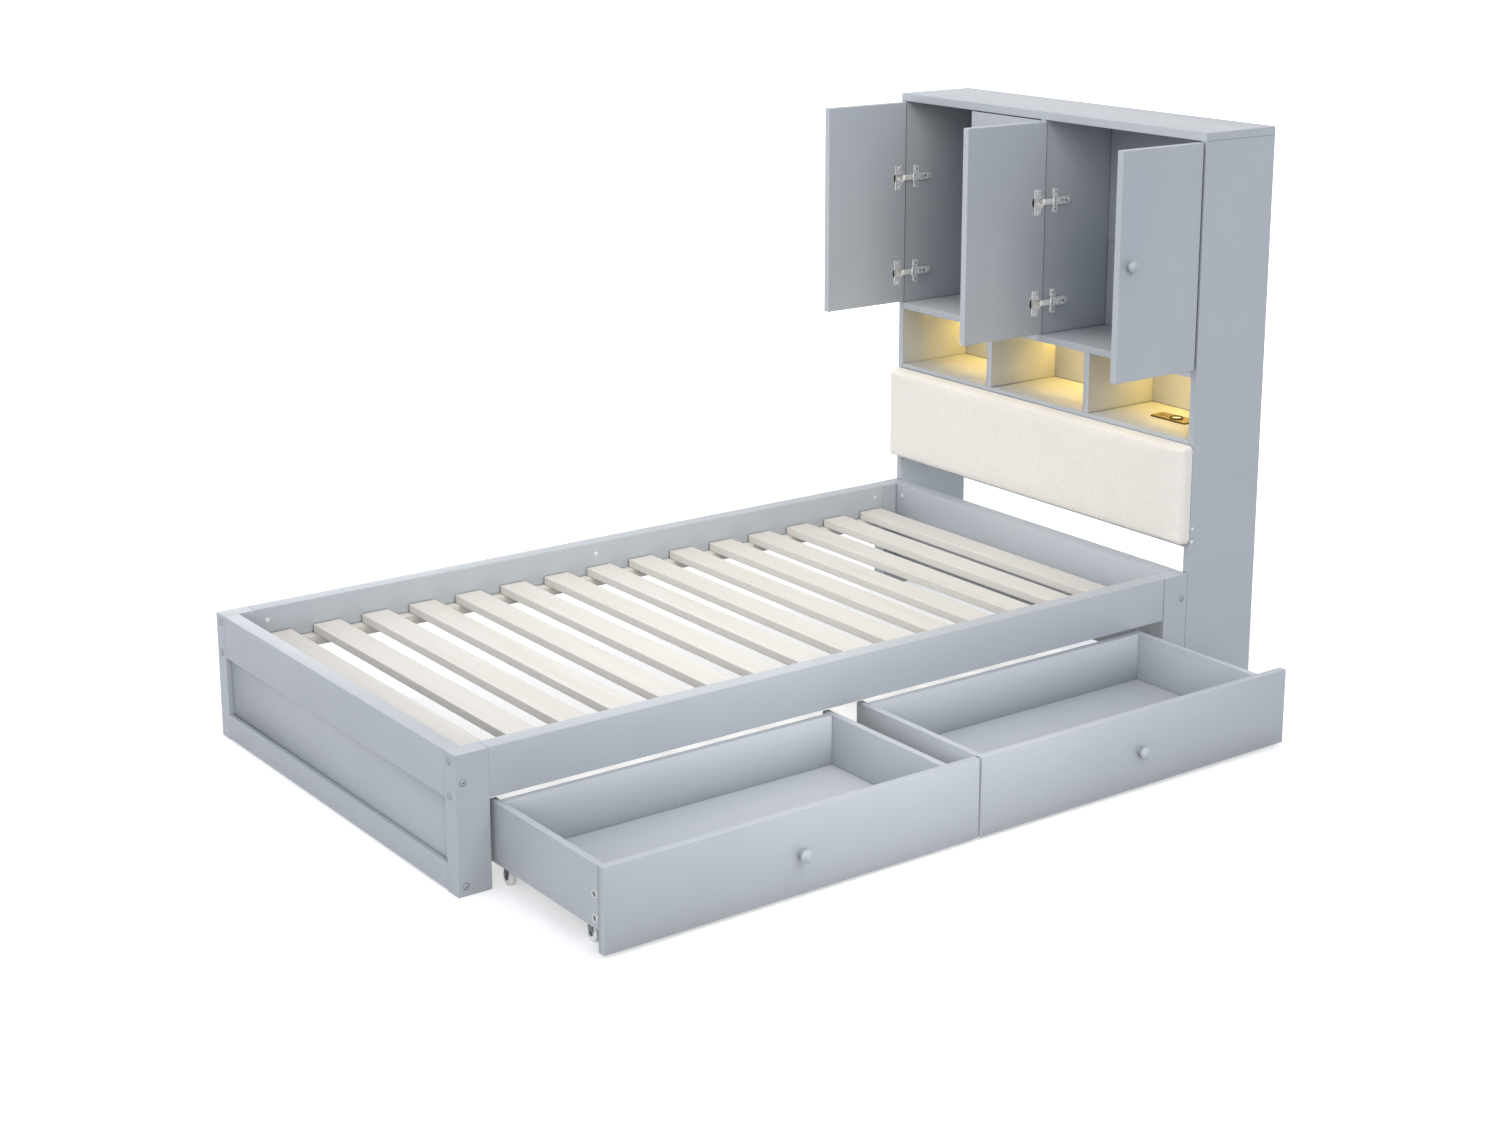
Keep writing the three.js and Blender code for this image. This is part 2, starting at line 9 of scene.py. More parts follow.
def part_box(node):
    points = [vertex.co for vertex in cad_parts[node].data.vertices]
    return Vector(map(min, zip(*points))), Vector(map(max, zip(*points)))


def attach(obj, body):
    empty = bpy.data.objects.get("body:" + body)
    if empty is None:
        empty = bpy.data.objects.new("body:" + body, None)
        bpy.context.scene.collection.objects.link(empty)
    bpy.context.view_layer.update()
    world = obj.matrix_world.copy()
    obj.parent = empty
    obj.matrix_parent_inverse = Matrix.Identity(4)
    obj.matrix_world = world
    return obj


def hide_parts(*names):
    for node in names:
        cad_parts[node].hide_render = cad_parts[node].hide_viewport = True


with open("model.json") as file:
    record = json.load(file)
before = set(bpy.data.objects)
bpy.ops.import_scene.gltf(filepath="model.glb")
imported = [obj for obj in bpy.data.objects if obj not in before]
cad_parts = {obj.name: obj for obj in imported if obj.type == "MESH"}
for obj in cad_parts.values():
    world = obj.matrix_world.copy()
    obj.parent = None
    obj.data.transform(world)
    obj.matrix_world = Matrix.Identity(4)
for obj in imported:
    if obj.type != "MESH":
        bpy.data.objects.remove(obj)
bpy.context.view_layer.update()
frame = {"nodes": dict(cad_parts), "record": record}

nodes = frame["nodes"]
MM = 0.001


# Places taken from the CAD nodes, and sizes that several pieces share

BED_MIDDLE = sum(c.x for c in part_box("foot_top_rail")) / 2
FOOT_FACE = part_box("foot_top_rail")[0].y
BOARD_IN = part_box("cabinet_floor")[1].x - BED_MIDDLE       # inner face of a headboard side, from the middle
PARTITION_HALF = 9 * MM
THICK = 18                                                 # doors and headboard sides, in mm
LEAF_WIDE = 256 * MM
HEADBOARD_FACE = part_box("headboard_top")[0].y
HINGE_LEVELS = {level: sum(c.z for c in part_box("hinge_neck_1_" + level)) / 2 for level in ("lower", "upper")}


# Selecting, shaping and finishing by hand

def alone(o):
    """Leaves only this object selected, and makes it the active one."""
    bpy.ops.object.select_all(action="DESELECT")
    o.select_set(True)
    bpy.context.view_layer.objects.active = o


def settled(name):
    """Names the primitive just added and applies its place."""
    o = bpy.context.active_object
    o.name = o.data.name = name
    bpy.ops.object.transform_apply(location=True, rotation=True, scale=True)
    return o


def block(name, low, high):
    bpy.ops.object.select_all(action="DESELECT")
    low, high = Vector(low), Vector(high)
    bpy.ops.mesh.primitive_cube_add(size=1, location=(low + high) / 2, scale=high - low)
    return settled(name)


TURNS = {"x": (0, pi / 2, 0), "y": (pi / 2, 0, 0), "z": (0, 0, 0)}


def drum(name, middle, radius, length, axis="z", sides=32):
    bpy.ops.object.select_all(action="DESELECT")
    bpy.ops.mesh.primitive_cylinder_add(vertices=sides, radius=radius, depth=length, location=middle,
                                        rotation=TURNS[axis])
    return settled(name)


def open_mesh(o, kind):
    """Edit mode with nothing selected."""
    alone(o)
    bpy.ops.object.mode_set(mode="EDIT")
    bpy.ops.mesh.select_mode(type=kind)
    bpy.ops.mesh.select_all(action="DESELECT")
    return bmesh.from_edit_mesh(o.data)


def open_whole(o, kind="VERT"):
    """Edit mode with all of the piece selected."""
    open_mesh(o, kind)
    bpy.ops.mesh.select_all(action="SELECT")


def pick_edges(o, wanted):
    mesh = open_mesh(o, "EDGE")
    for edge in mesh.edges:
        edge.select_set(wanted(edge.verts[0].co, edge.verts[1].co))
    bmesh.update_edit_mesh(o.data)


def pick_faces(o, wanted):
    mesh = open_mesh(o, "FACE")
    for face in mesh.faces:
        face.select_set(wanted(face.calc_center_median(), face.normal))
    bmesh.update_edit_mesh(o.data)


def close_mesh():
    bpy.ops.object.mode_set(mode="OBJECT")


def bevel_picked(width, segments, profile=0.5):
    bpy.ops.mesh.bevel(offset=width, segments=segments, profile=profile, affect="EDGES", clamp_overlap=True)
    close_mesh()


def ease(o, width, segments=3):
    """Rounds every edge."""
    pick_edges(o, lambda a, b: True)
    bevel_picked(width, segments)
    return o


def along(axis):
    """Says whether an edge runs along this axis."""
    return lambda a, b: (b - a).length > 0 and abs((b - a).normalized()[axis]) > 0.99


def use(o, kind, **settings):
    """Adds a modifier and applies it."""
    alone(o)
    modifier = o.modifiers.new(kind.lower(), kind)
    for name, value in settings.items():
        setattr(modifier, name, value)
    bpy.ops.object.modifier_apply(modifier=modifier.name)
    return o


def cut(o, *cutters):
    """Takes the cutters out of the piece and deletes them."""
    for cutter in cutters:
        use(o, "BOOLEAN", object=cutter, operation="DIFFERENCE", solver="EXACT")
        bpy.data.objects.remove(cutter)
    return o


def joined(name, *parts):
    bpy.ops.object.select_all(action="DESELECT")
    for part in parts:
        part.select_set(True)
    bpy.context.view_layer.objects.active = parts[0]
    bpy.ops.object.join()
    o = bpy.context.active_object
    o.name = o.data.name = name
    return o


def smoothed(o, degrees=40, weighted=True):
    """Smooth shading over the roundings, with the flats kept flat."""
    alone(o)
    bpy.ops.object.shade_smooth_by_angle(angle=radians(degrees))
    if weighted:
        use(o, "WEIGHTED_NORMAL", keep_sharp=True)
    return o


def in_mm(pairs):
    """(radius, height) pairs in millimetres, for turned()."""
    return [(r * MM, h * MM) for r, h in pairs]


def turned(name, profile, sides=48):
    """A round piece up the z axis: a cylinder whose top is drawn on by (radius, height) pairs."""
    (r0, h0), (r1, h1) = profile[:2]
    bpy.ops.object.select_all(action="DESELECT")
    bpy.ops.mesh.primitive_cone_add(vertices=sides, radius1=r0, radius2=r1, depth=h1 - h0,
                                    location=(0, 0, (h0 + h1) / 2))
    o = settled(name)
    pick_faces(o, lambda c, n: n.z > 0.99 and abs(c.z - h1) < 1e-6)
    radius, height = r1, h1
    for r, h in profile[2:]:
        bpy.ops.mesh.extrude_region_move(TRANSFORM_OT_translate={"value": (0, 0, h - height)})
        bpy.ops.transform.resize(value=(r / radius, r / radius, 1), center_override=(0, 0, h))
        radius, height = r, h
    close_mesh()
    return o


def placed(o, matrix):
    o.matrix_world = matrix @ o.matrix_world
    alone(o)
    bpy.ops.object.transform_apply(location=True, rotation=True, scale=True)
    return o


def copy_of(o, name, matrix=Matrix.Identity(4)):
    alone(o)
    bpy.ops.object.duplicate()
    made = bpy.context.active_object
    made.name = made.data.name = name
    return placed(made, matrix)


def shift(x=0, y=0, z=0):
    return Matrix.Translation((x, y, z))


def turn(degrees, axis):
    return Matrix.Rotation(radians(degrees), 4, axis.upper())


def belongs(o, body, finish, *stands_for, skin=None):
    """Gives the piece its finish, its body and the CAD nodes it stands for."""
    o.data.materials.clear()
    o.data.materials.append(skin or finishes[finish])
    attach(o, body)
    if stands_for:
        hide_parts(*stands_for)
    return o


# Finishes

def colour(red, green, blue):
    """A colour written as it looks on a screen, 0 to 255."""
    def flat(v):
        v /= 255
        return v / 12.92 if v <= 0.04045 else ((v + 0.055) / 1.055) ** 2.4
    return (flat(red), flat(green), flat(blue), 1.0)


class Finish:
    """A material under construction: its nodes are added and wired through short calls."""

    def __init__(self, name, base, rough, metal=0.0):
        self.material = bpy.data.materials.new(name)
        self.material.use_nodes = True
        self.tree = self.material.node_tree
        self.shader = self.tree.nodes["Principled BSDF"]
        self.shader.inputs["Base Color"].default_value = base
        self.shader.inputs["Roughness"].default_value = rough
        self.shader.inputs["Metallic"].default_value = metal

    def fill(self, socket, value):
        """Links the socket to another node's output, or sets a plain value."""
        if isinstance(value, bpy.types.NodeSocket):
            self.tree.links.new(value, socket)
        else:
            socket.default_value = value

    def node(self, kind, **inputs):
        n = self.tree.nodes.new("ShaderNode" + kind)
        for name, value in inputs.items():
            self.fill(n.inputs[name.replace("_", " ")], value)
        return n

    def place(self, scale=(1, 1, 1)):
        """Object coordinates in metres, stretched."""
        m = self.node("Mapping", Vector=self.node("TexCoord").outputs["Object"], Scale=scale)
        return m.outputs["Vector"]

    def noise(self, scale, detail=2.0, rough=0.5, at=None, distortion=0.0):
        n = self.node("TexNoise", Vector=at or self.place(), Scale=scale, Detail=detail, Roughness=rough,
                      Distortion=distortion)
        return n.outputs["Fac"]

    def ramp(self, value, *stops):
        """Colours or greys by position; each stop is (position, colour)."""
        n = self.node("ValToRGB", Fac=value)
        band = n.color_ramp
        while len(band.elements) < len(stops):
            band.elements.new(0.5)
        for element, (position, shade) in zip(band.elements, stops):
            element.position = position
            element.color = shade if isinstance(shade, tuple) else (shade, shade, shade, 1)
        return n.outputs["Color"]

    def spread(self, value, low, high):
        """A 0 to 1 value spread from low to high."""
        return self.node("MapRange", Value=value, To_Min=low, To_Max=high).outputs["Result"]

    def blend(self, share, a, b):
        """Colour a with this share of colour b; a Mix node keeps its colours in sockets 6, 7 and 2."""
        n = self.tree.nodes.new("ShaderNodeMix")
        n.data_type = "RGBA"
        for i, value in ((0, share), (6, a), (7, b)):
            self.fill(n.inputs[i], value)
        return n.outputs[2]

    def higher(self, a, b):
        n = self.tree.nodes.new("ShaderNodeMath")
        n.operation = "MAXIMUM"
        self.fill(n.inputs[0], a)
        self.fill(n.inputs[1], b)
        return n.outputs[0]

    def bump(self, height, strength, depth, after=None):
        n = self.node("Bump", Height=height, Strength=strength, Distance=depth)
        if after:
            self.tree.links.new(after, n.inputs["Normal"])
        return n.outputs["Normal"]

    def joints(self, shade, shadow_colour, share, reach=5 * MM):
        """Painted shade: darkens the last few millimetres towards gaps and inner corners, where shadow falls.
        """
        near = self.node("AmbientOcclusion", Distance=reach)
        near.samples = 6
        deepest = min(2.2 * share, 1.0)
        depth = self.ramp(near.outputs["AO"], (0.30, deepest), (0.52, share), (0.86, 0.0))
        return self.blend(depth, shade, shadow_colour)

    def set(self, **inputs):
        for name, value in inputs.items():
            self.fill(self.shader.inputs[name.replace("_", " ")], value)
        return self.material


def satin_paint(name="grey_satin_paint", crevice_shade_share=0.42):
    """Sprayed grey lacquer: slight clouding, uneven gloss, a fine orange peel and painted shade towards gaps
    and inner corners.
    """
    f = Finish(name, colour(172, 177, 182), 0.42)
    clouds = f.noise(2.6, 4, 0.55)
    shade = f.ramp(clouds, (0.3, colour(170, 175, 181)), (0.7, colour(175, 180, 185)))
    specks = f.noise(210, 3, 0.7)
    shade = f.blend(f.ramp(specks, (0.62, 0.0), (0.8, 0.10)), shade, colour(184, 189, 194))
    # Painted shade: darker towards gaps and inner corners, by the given share
    shade = f.joints(shade, colour(84, 87, 96), crevice_shade_share)
    gloss = f.spread(f.noise(34, 3, 0.6), 0.36, 0.50)
    peel = f.bump(f.noise(520, 2, 0.5), 0.10, 0.0004)
    waves = f.bump(f.noise(22, 2, 0.5), 0.04, 0.0015, after=peel)
    return f.set(Base_Color=shade, Roughness=gloss, Normal=waves)


def pale_wood(name, grain_axis):
    """Planed softwood under a thin cream wash: long soft grain and pores, with painted light that makes the
    side faces paler and painted shade towards gaps and inner corners.
    """
    f = Finish(name, colour(210, 207, 201), 0.62)
    stretch = [26.0, 26.0, 26.0]
    stretch[grain_axis] = 1.1
    at = f.place(tuple(stretch))
    rings = f.noise(1.6, 5, 0.55, at=at, distortion=1.2)
    shade = f.ramp(rings, (0.30, colour(201, 197, 190)), (0.48, colour(206, 203, 196)),
                   (0.72, colour(210, 207, 202)))
    # Painted light: faces that point less upwards are blended towards a paler cream
    upward = f.node("SeparateXYZ", Vector=f.node("NewGeometry").outputs["Normal"]).outputs["Z"]
    painted_side_light = f.ramp(upward, (0.35, 0.85), (0.85, 0.0))
    shade = f.blend(painted_side_light, shade, colour(222, 217, 210))
    stretch[grain_axis] = 6.0
    pores = f.noise(17, 3, 0.6, at=f.place(tuple(stretch)))
    shade = f.blend(f.ramp(pores, (0.30, 0.22), (0.44, 0.0)), shade, colour(191, 184, 173))
    # Painted shade: darker towards gaps and inner corners
    shade = f.joints(shade, colour(120, 112, 102), 0.4)
    relief = f.bump(pores, 0.25, 0.0004)
    relief = f.bump(rings, 0.12, 0.0006, after=relief)
    return f.set(Base_Color=shade, Roughness=f.spread(pores, 0.70, 0.54), Normal=relief)


def linen_cloth():
    """Plain-woven linen: crossing threads about a millimetre wide, with slubs and flecks."""
    f = Finish("beige_linen", colour(240, 234, 226), 0.92)
    cloth = f.place()
    threads = []
    for direction in ("X", "Z"):
        wave = f.node("TexWave", Vector=cloth, Scale=290.0, Distortion=1.6, Detail=2.0, Detail_Scale=0.8)
        wave.bands_direction = direction
        threads.append(wave.outputs["Fac"])
    weave = f.higher(*threads)
    across = f.noise(60, 3, 0.6, at=f.place((1.0, 9.0, 9.0)))
    upward = f.noise(60, 3, 0.6, at=f.place((9.0, 9.0, 1.0)))
    slubs = f.higher(across, upward)
    shade = f.ramp(slubs, (0.42, colour(230, 223, 214)), (0.60, colour(237, 232, 225)),
                   (0.78, colour(242, 239, 235)))
    shade = f.blend(f.ramp(weave, (0.25, 0.26), (0.75, 0.0)), shade, colour(214, 204, 190))
    flecks = f.noise(420, 2, 0.7)
    shade = f.blend(f.ramp(flecks, (0.68, 0.0), (0.80, 0.25)), shade, colour(206, 192, 174))
    relief = f.bump(weave, 0.35, 0.0005)
    relief = f.bump(slubs, 0.30, 0.0009, after=relief)
    return f.set(Base_Color=shade, Normal=relief, Sheen_Weight=0.18, Sheen_Roughness=0.55,
                 Specular_IOR_Level=0.25)


def plated_steel(name, base, low, high, metal=0.72):
    """Pressed and plated steel: bright, with faint draw marks and cloudy gloss."""
    f = Finish(name, base, (low + high) / 2, metal)
    clouds = f.noise(160, 3, 0.6)
    marks = f.noise(90, 2, 0.6, at=f.place((12, 12, 1)))
    dark = tuple(v * 0.82 for v in base[:3]) + (1.0,)
    # Painted shade: darker towards gaps and inner corners within 2.5 mm
    shade = f.joints(f.blend(f.spread(clouds, 0.0, 0.5), base, dark), colour(52, 53, 58), 0.35, 2.5 * MM)
    f.set(Base_Color=shade, Roughness=f.spread(clouds, low, high))
    return f.set(Normal=f.bump(marks, 0.08, 0.0002))


def moulded(name, base, rough, peel=0.05):
    """Moulded plastic: a faint mottle, an uneven gloss and a fine grain."""
    f = Finish(name, base, rough)
    mottle = f.noise(120, 3, 0.6)
    darker = tuple(v * 0.88 for v in base[:3]) + (1.0,)
    f.set(Base_Color=f.blend(f.spread(mottle, 0.0, 0.6), base, darker))
    f.set(Roughness=f.spread(mottle, rough * 0.8, rough * 1.25))
    return f.set(Normal=f.bump(f.noise(1300, 2, 0.5), peel, 0.0002))


def warm_strip():
    """A light strip: warm chips every 16 mm glow through a milky cover."""
    f = Finish("warm_light_strip", colour(255, 238, 196), 0.35)
    chips = f.node("TexWave", Vector=f.place(), Scale=19.6)
    chips.bands_direction = "X"
    glow = f.ramp(chips.outputs["Fac"], (0.15, colour(255, 200, 110)), (0.85, colour(255, 232, 180)))
    return f.set(Emission_Color=glow, Emission_Strength=1.1)


finishes = {
    "paint": satin_paint(),
    "slats": pale_wood("pale_slat_wood", 0),
    "linen": linen_cloth(),
    "nickel": plated_steel("nickel_plate", colour(250, 250, 250), 0.22, 0.34, metal=0.5),
    "white_plastic": moulded("white_wheel_plastic", colour(248, 248, 246), 0.34),
    "black_plastic": moulded("black_unit_plastic", colour(22, 22, 24), 0.22, 0.02),
    "led": warm_strip(),
}
# The same grey paint with only a faint painted shade towards gaps and inner corners
faint_shade_paint = satin_paint("grey_satin_paint_open_joints", 0.14)
ledger_wood = pale_wood("pale_ledger_wood", 1)
neck_steel = plated_steel("neck_steel", colour(246, 244, 240), 0.30, 0.42, metal=0.35)
zinc_steel = plated_steel("zinc_bracket_steel", colour(112, 114, 118), 0.22, 0.36, metal=0.9)
# Near-black plastic for pieces that stand in for shade: painted shadow
shadow_black = moulded("blackened_socket", colour(16, 16, 18), 0.5)
bronze_glass = plated_steel("bronze_cover_plate", colour(184, 160, 62), 0.18, 0.28)


# CAD nodes that keep their shape: a better finish and eased edges

# CAD nodes that get the paint with the faint painted shade
FAINT_SHADE_NODES = ["foot_infill_panel", "foot_bottom_rail", "foot_top_rail"]
FAINT_SHADE_NODES += [f"drawer_{d}_{part}" for d in (1, 2) for part in ("back", "side_left", "side_right")]


def keep_cad_nodes():
    for part in frame["record"]["subparts"]:
        skin = faint_shade_paint if part["node"] in FAINT_SHADE_NODES else finishes[part["material_slot"]]
        node = nodes[part["node"]]
        node.data.materials.clear()
        node.data.materials.append(skin)
    kept = ("side_rail", "foot_", "head_panel", "headboard_top", "cabinet_floor", "niche_", "cushion_rail")
    boards = [name for name in nodes if name.startswith(kept)]
    boards += [f"drawer_{d}_{part}" for d in (1, 2) for part in ("front", "side_left", "side_right", "back")]
    for name in boards:
        eased_live(nodes[name], 1.2 * MM)
    eased_live(nodes["back_panel"], 0.3 * MM)
    for name in nodes:
        if name.startswith("hinge_neck"):
            eased_live(nodes[name], 0.7 * MM)
            nodes[name].data.materials[0] = neck_steel


def eased_live(node, width):
    """The mesh of a CAD node stays as it is, so its edges are eased by modifiers that stay on it."""
    weld = node.modifiers.new("weld", "WELD")
    weld.merge_threshold = 1e-5
    rounding = node.modifiers.new("eased_edges", "BEVEL")
    rounding.width = width
    rounding.segments = 3
    rounding.limit_method = "ANGLE"
    rounding.harden_normals = True
    alone(node)
    bpy.ops.object.shade_smooth()


# Legs

def legs():
    for name in ("leg_foot_left", "leg_foot_right", "leg_head_left", "leg_head_right"):
        leg = block(name + "_post", *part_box(name))
        smoothed(ease(leg, 2 * MM, 4))
        belongs(leg, "bed", "paint", name, skin=faint_shade_paint if "foot" in name else None)


# The slat base: two ledgers and a row of slats

def slat_base():
    low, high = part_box("slat_base")
    slat_low = high.z - 20.5 * MM
    ledger_high = high.z - 20 * MM
    slat_half, slat_wide, slat_count, pitch = 505 * MM, 68 * MM, 15, 123.8
    ledger_out, ledger_in = 508 * MM, 483 * MM
    pieces = []
    for side, name in ((-1, "ledger_left"), (1, "ledger_right")):
        near, far = sorted((BED_MIDDLE + side * ledger_out, BED_MIDDLE + side * ledger_in))
        ledger = block(name, (near, low.y, low.z), (far, high.y, ledger_high))
        smoothed(ease(ledger, 1.5 * MM))
        belongs(ledger, "bed", "slats", skin=ledger_wood)
        pieces.append(ledger)
    first = FOOT_FACE + 93.4 * MM
    model = block("slat_1", (BED_MIDDLE - slat_half, first, slat_low),
                  (BED_MIDDLE + slat_half, first + slat_wide, high.z))
    smoothed(ease(model, 1.6 * MM))
    pieces.append(model)
    for i in range(1, slat_count):
        pieces.append(copy_of(model, f"slat_{i + 1}", shift(y=i * pitch * MM)))
    for slat in pieces[2:]:
        belongs(slat, "bed", "slats")
    for piece in pieces:
        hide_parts("slat_base")


# The padded rest

def cushion():
    """The cover, blown up a little from its CAD form by cloth whose back is held to the board."""
    node = nodes["cushion"]
    cover = node.copy()
    cover.data = node.data.copy()
    for key in list(cover.keys()):
        del cover[key]
    cover.parent = None
    bpy.context.scene.collection.objects.link(cover)
    cover.name = cover.data.name = "cushion_cover"
    open_whole(cover)
    bpy.ops.mesh.remove_doubles(threshold=1e-5)
    close_mesh()
    low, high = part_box("cushion")
    middle = (low + high) / 2
    plumper, held, most_move, frames = (1.004, 1.03, 1.012), 9 * MM, 1.2, 20
    open_whole(cover)
    bpy.ops.transform.resize(value=plumper, center_override=(middle.x, high.y, middle.z))
    close_mesh()
    cover.data.remesh_voxel_size = 5 * MM
    bpy.ops.object.voxel_remesh()
    before = [v.co.copy() for v in cover.data.vertices]
    board = cover.vertex_groups.new(name="board")
    board.add([i for i, p in enumerate(before) if p.y > high.y - held], 1.0, "REPLACE")
    cloth = cover.modifiers.new("cloth", "CLOTH")
    s = cloth.settings
    s.quality = 6
    s.mass = 0.4
    s.vertex_group_mass = "board"
    s.tension_stiffness = s.compression_stiffness = 40
    s.shear_stiffness = 20
    s.bending_stiffness = 12
    s.use_pressure = True
    s.uniform_pressure_force = 2.5
    s.effector_weights.gravity = 0
    scene = bpy.context.scene
    for number in range(1, frames + 1):
        scene.frame_set(number)
    alone(cover)
    bpy.ops.object.modifier_apply(modifier=cloth.name)
    scene.frame_set(1)
    for vertex, start in zip(cover.data.vertices, before):
        move = vertex.co - start
        if move.length > most_move * MM:
            vertex.co = start + move.normalized() * most_move * MM
        vertex.co.y = min(vertex.co.y, high.y)
    use(cover, "SMOOTH", factor=0.5, iterations=2)
    use(cover, "SUBSURF", levels=1, render_levels=1)
    smoothed(cover, 60, weighted=False)
    belongs(cover, "bed", "linen", "cushion")


# Small fixings, each modelled once

def cross_recess(reach, arm, low, high):
    return (block("recess", (-reach, -arm, low), (reach, arm, high)),
            block("recess", (-arm, -reach, low), (arm, reach, high)))


def screw_head(name, radius, height):
    """A domed head with a cross recess, up the z axis from its seat."""
    head = turned(name, [(radius * 0.96, -0.6 * MM), (radius, 0), (radius * 0.97, height * 0.35),
                         (radius * 0.80, height * 0.75), (radius * 0.48, height * 0.96),
                         (radius * 0.2, height)], 28)
    cut(head, *cross_recess(radius * 0.62, radius * 0.13, height * 0.25, height * 2))
    return smoothed(head, 35, weighted=False)


def bolt_cap():
    """The painted head of a bed bolt: a low dome in a washer, with a six-sided socket."""
    cap = turned("bolt_cap", in_mm([(8.6, -0.8), (8.6, 0.7), (8.0, 1.4), (6.9, 1.5), (6.3, 0.3), (5.8, 0.3),
                                    (5.5, 1.9), (4.6, 2.8), (3.4, 3.1)]), 40)
    cut(cap, drum("socket", (0, 0, 3.1 * MM), 2.3 * MM, 4.4 * MM, sides=6))
    return smoothed(cap, 35, weighted=False)


def barrel_nut():
    """The round end of a barrel nut, let in flush, with a slot."""
    nut = turned("barrel_nut", in_mm([(5.2, -1), (5.2, 0.25), (4.8, 0.6), (4.2, 0.6)]), 32)
    cut(nut, block("slot", (-3.4 * MM, -0.5 * MM, 0.1 * MM), (3.4 * MM, 0.5 * MM, 2 * MM)))
    return smoothed(nut, 35, weighted=False)


def cam_bolt():
    """A cam fixing in a drawer side: a plated rim, and the dark cam inside it with a cross socket."""
    rim = turned("cam_rim", in_mm([(8.0, -1), (8.0, 0.4), (7.6, 1.0), (7.1, 1.0), (6.7, 0.6)]), 40)
    cut(rim, drum("hollow", (0, 0, 0), 6.6 * MM, 6 * MM, sides=40))
    core = turned("cam_core", in_mm([(6.7, -1), (6.7, -0.3), (5.0, 0.1), (2.8, 0.2), (2.4, 0.7),
                                    (1.6, 0.8)]), 40)
    cut(core, *cross_recess(1.3 * MM, 0.35 * MM, 0.2 * MM, 2 * MM))
    return smoothed(rim, 35, weighted=False), smoothed(core, 35, weighted=False)


# Turns a piece modelled up the z axis to face another way
FACING = {"+x": turn(90, "y"), "-x": turn(-90, "y"), "+y": turn(-90, "x"), "-y": turn(90, "x"),
          "-z": turn(180, "x")}


def fixings():
    """Bolt caps on the legs, barrel nuts inside the rails and end panels, screws in the headboard's sides."""
    x, y = BED_MIDDLE, FOOT_FACE
    out, leg_middle, rail_in, panel_nut, nut_z = 548 * MM, 525 * MM, 508 * MM, 480 * MM, 266 * MM
    # Heights above the floor, and ways back from the foot's face, in mm
    foot_levels, side_levels, screw_levels = (277, 206), (236, 21.7), (403.6, 371.3)
    side_caps, rail_nuts, panel_nuts = (17.5, 1970), (106, 990, 1880), ((1952, "-y"), (36, "+y"))
    screws_back = 1996.6
    caps, nuts, screws = [], [], []
    for side, face, back in ((-1, "-x", "+x"), (1, "+x", "-x")):
        for z in foot_levels:
            caps.append(((x + side * leg_middle, y, z * MM), "-y"))
        for z in side_levels:
            for from_foot in side_caps:
                caps.append(((x + side * out, y + from_foot * MM, z * MM), face))
        for from_foot in rail_nuts:
            nuts.append(((x + side * rail_in, y + from_foot * MM, nut_z), back))
        for from_foot, way in panel_nuts:
            nuts.append(((x + side * panel_nut, y + from_foot * MM, nut_z), way))
        for z in screw_levels:
            screws.append(((x + side * out, y + screws_back * MM, z * MM), face))
    side_screw = screw_head("side_screw", 3.6 * MM, 1.2 * MM)
    for label, model, finish, spots in (("bolt_cap", bolt_cap(), "paint", caps),
                                        ("barrel_nut", barrel_nut(), "nickel", nuts),
                                        ("side_screw", side_screw, "nickel", screws)):
        for i, (spot, way) in enumerate(spots, 1):
            belongs(copy_of(model, f"{label}_{i}", Matrix.Translation(spot) @ FACING[way]), "bed", finish)
        bpy.data.objects.remove(model)


# Doors, with their cups, and the arms that carry them

# face: the carrying board's face, counted from the middle. s: the way in which the shut leaf runs from it.
# shift: how far the leaf's hinge side stands off that face, in mm. open: whether it is open at rest.
DOORS = [
    {"number": 1, "face": -BOARD_IN, "s": 1, "shift": 5, "open": True},
    {"number": 2, "face": -PARTITION_HALF, "s": -1, "shift": 9, "open": False},
    {"number": 3, "face": PARTITION_HALF, "s": 1, "shift": 9, "open": True},
    {"number": 4, "face": BOARD_IN, "s": -1, "shift": 5, "open": True},
]


def hinge_plan(door):
    """The pivot, the pin and the cup from the board's face and the headboard's front, as the CAD has them."""
    pivot = Vector(((door["shift"] - THICK) / 2, (THICK - door["shift"]) / 2, 0)) * MM
    pin = Vector((door["shift"] + 3.5, 22, 0)) * MM
    shut_tip, open_tip = pin.x + 33 * MM, 11 * MM        # where the neck's free end stands in the cup
    travel = (shut_tip - open_tip + 3 * MM) / 2
    cup_radius = (travel ** 2 + (3.5 * MM) ** 2) ** 0.5 + 0.45 * MM
    cup_x = (shut_tip + open_tip) / 2
    return pivot, pin, cup_x, cup_radius


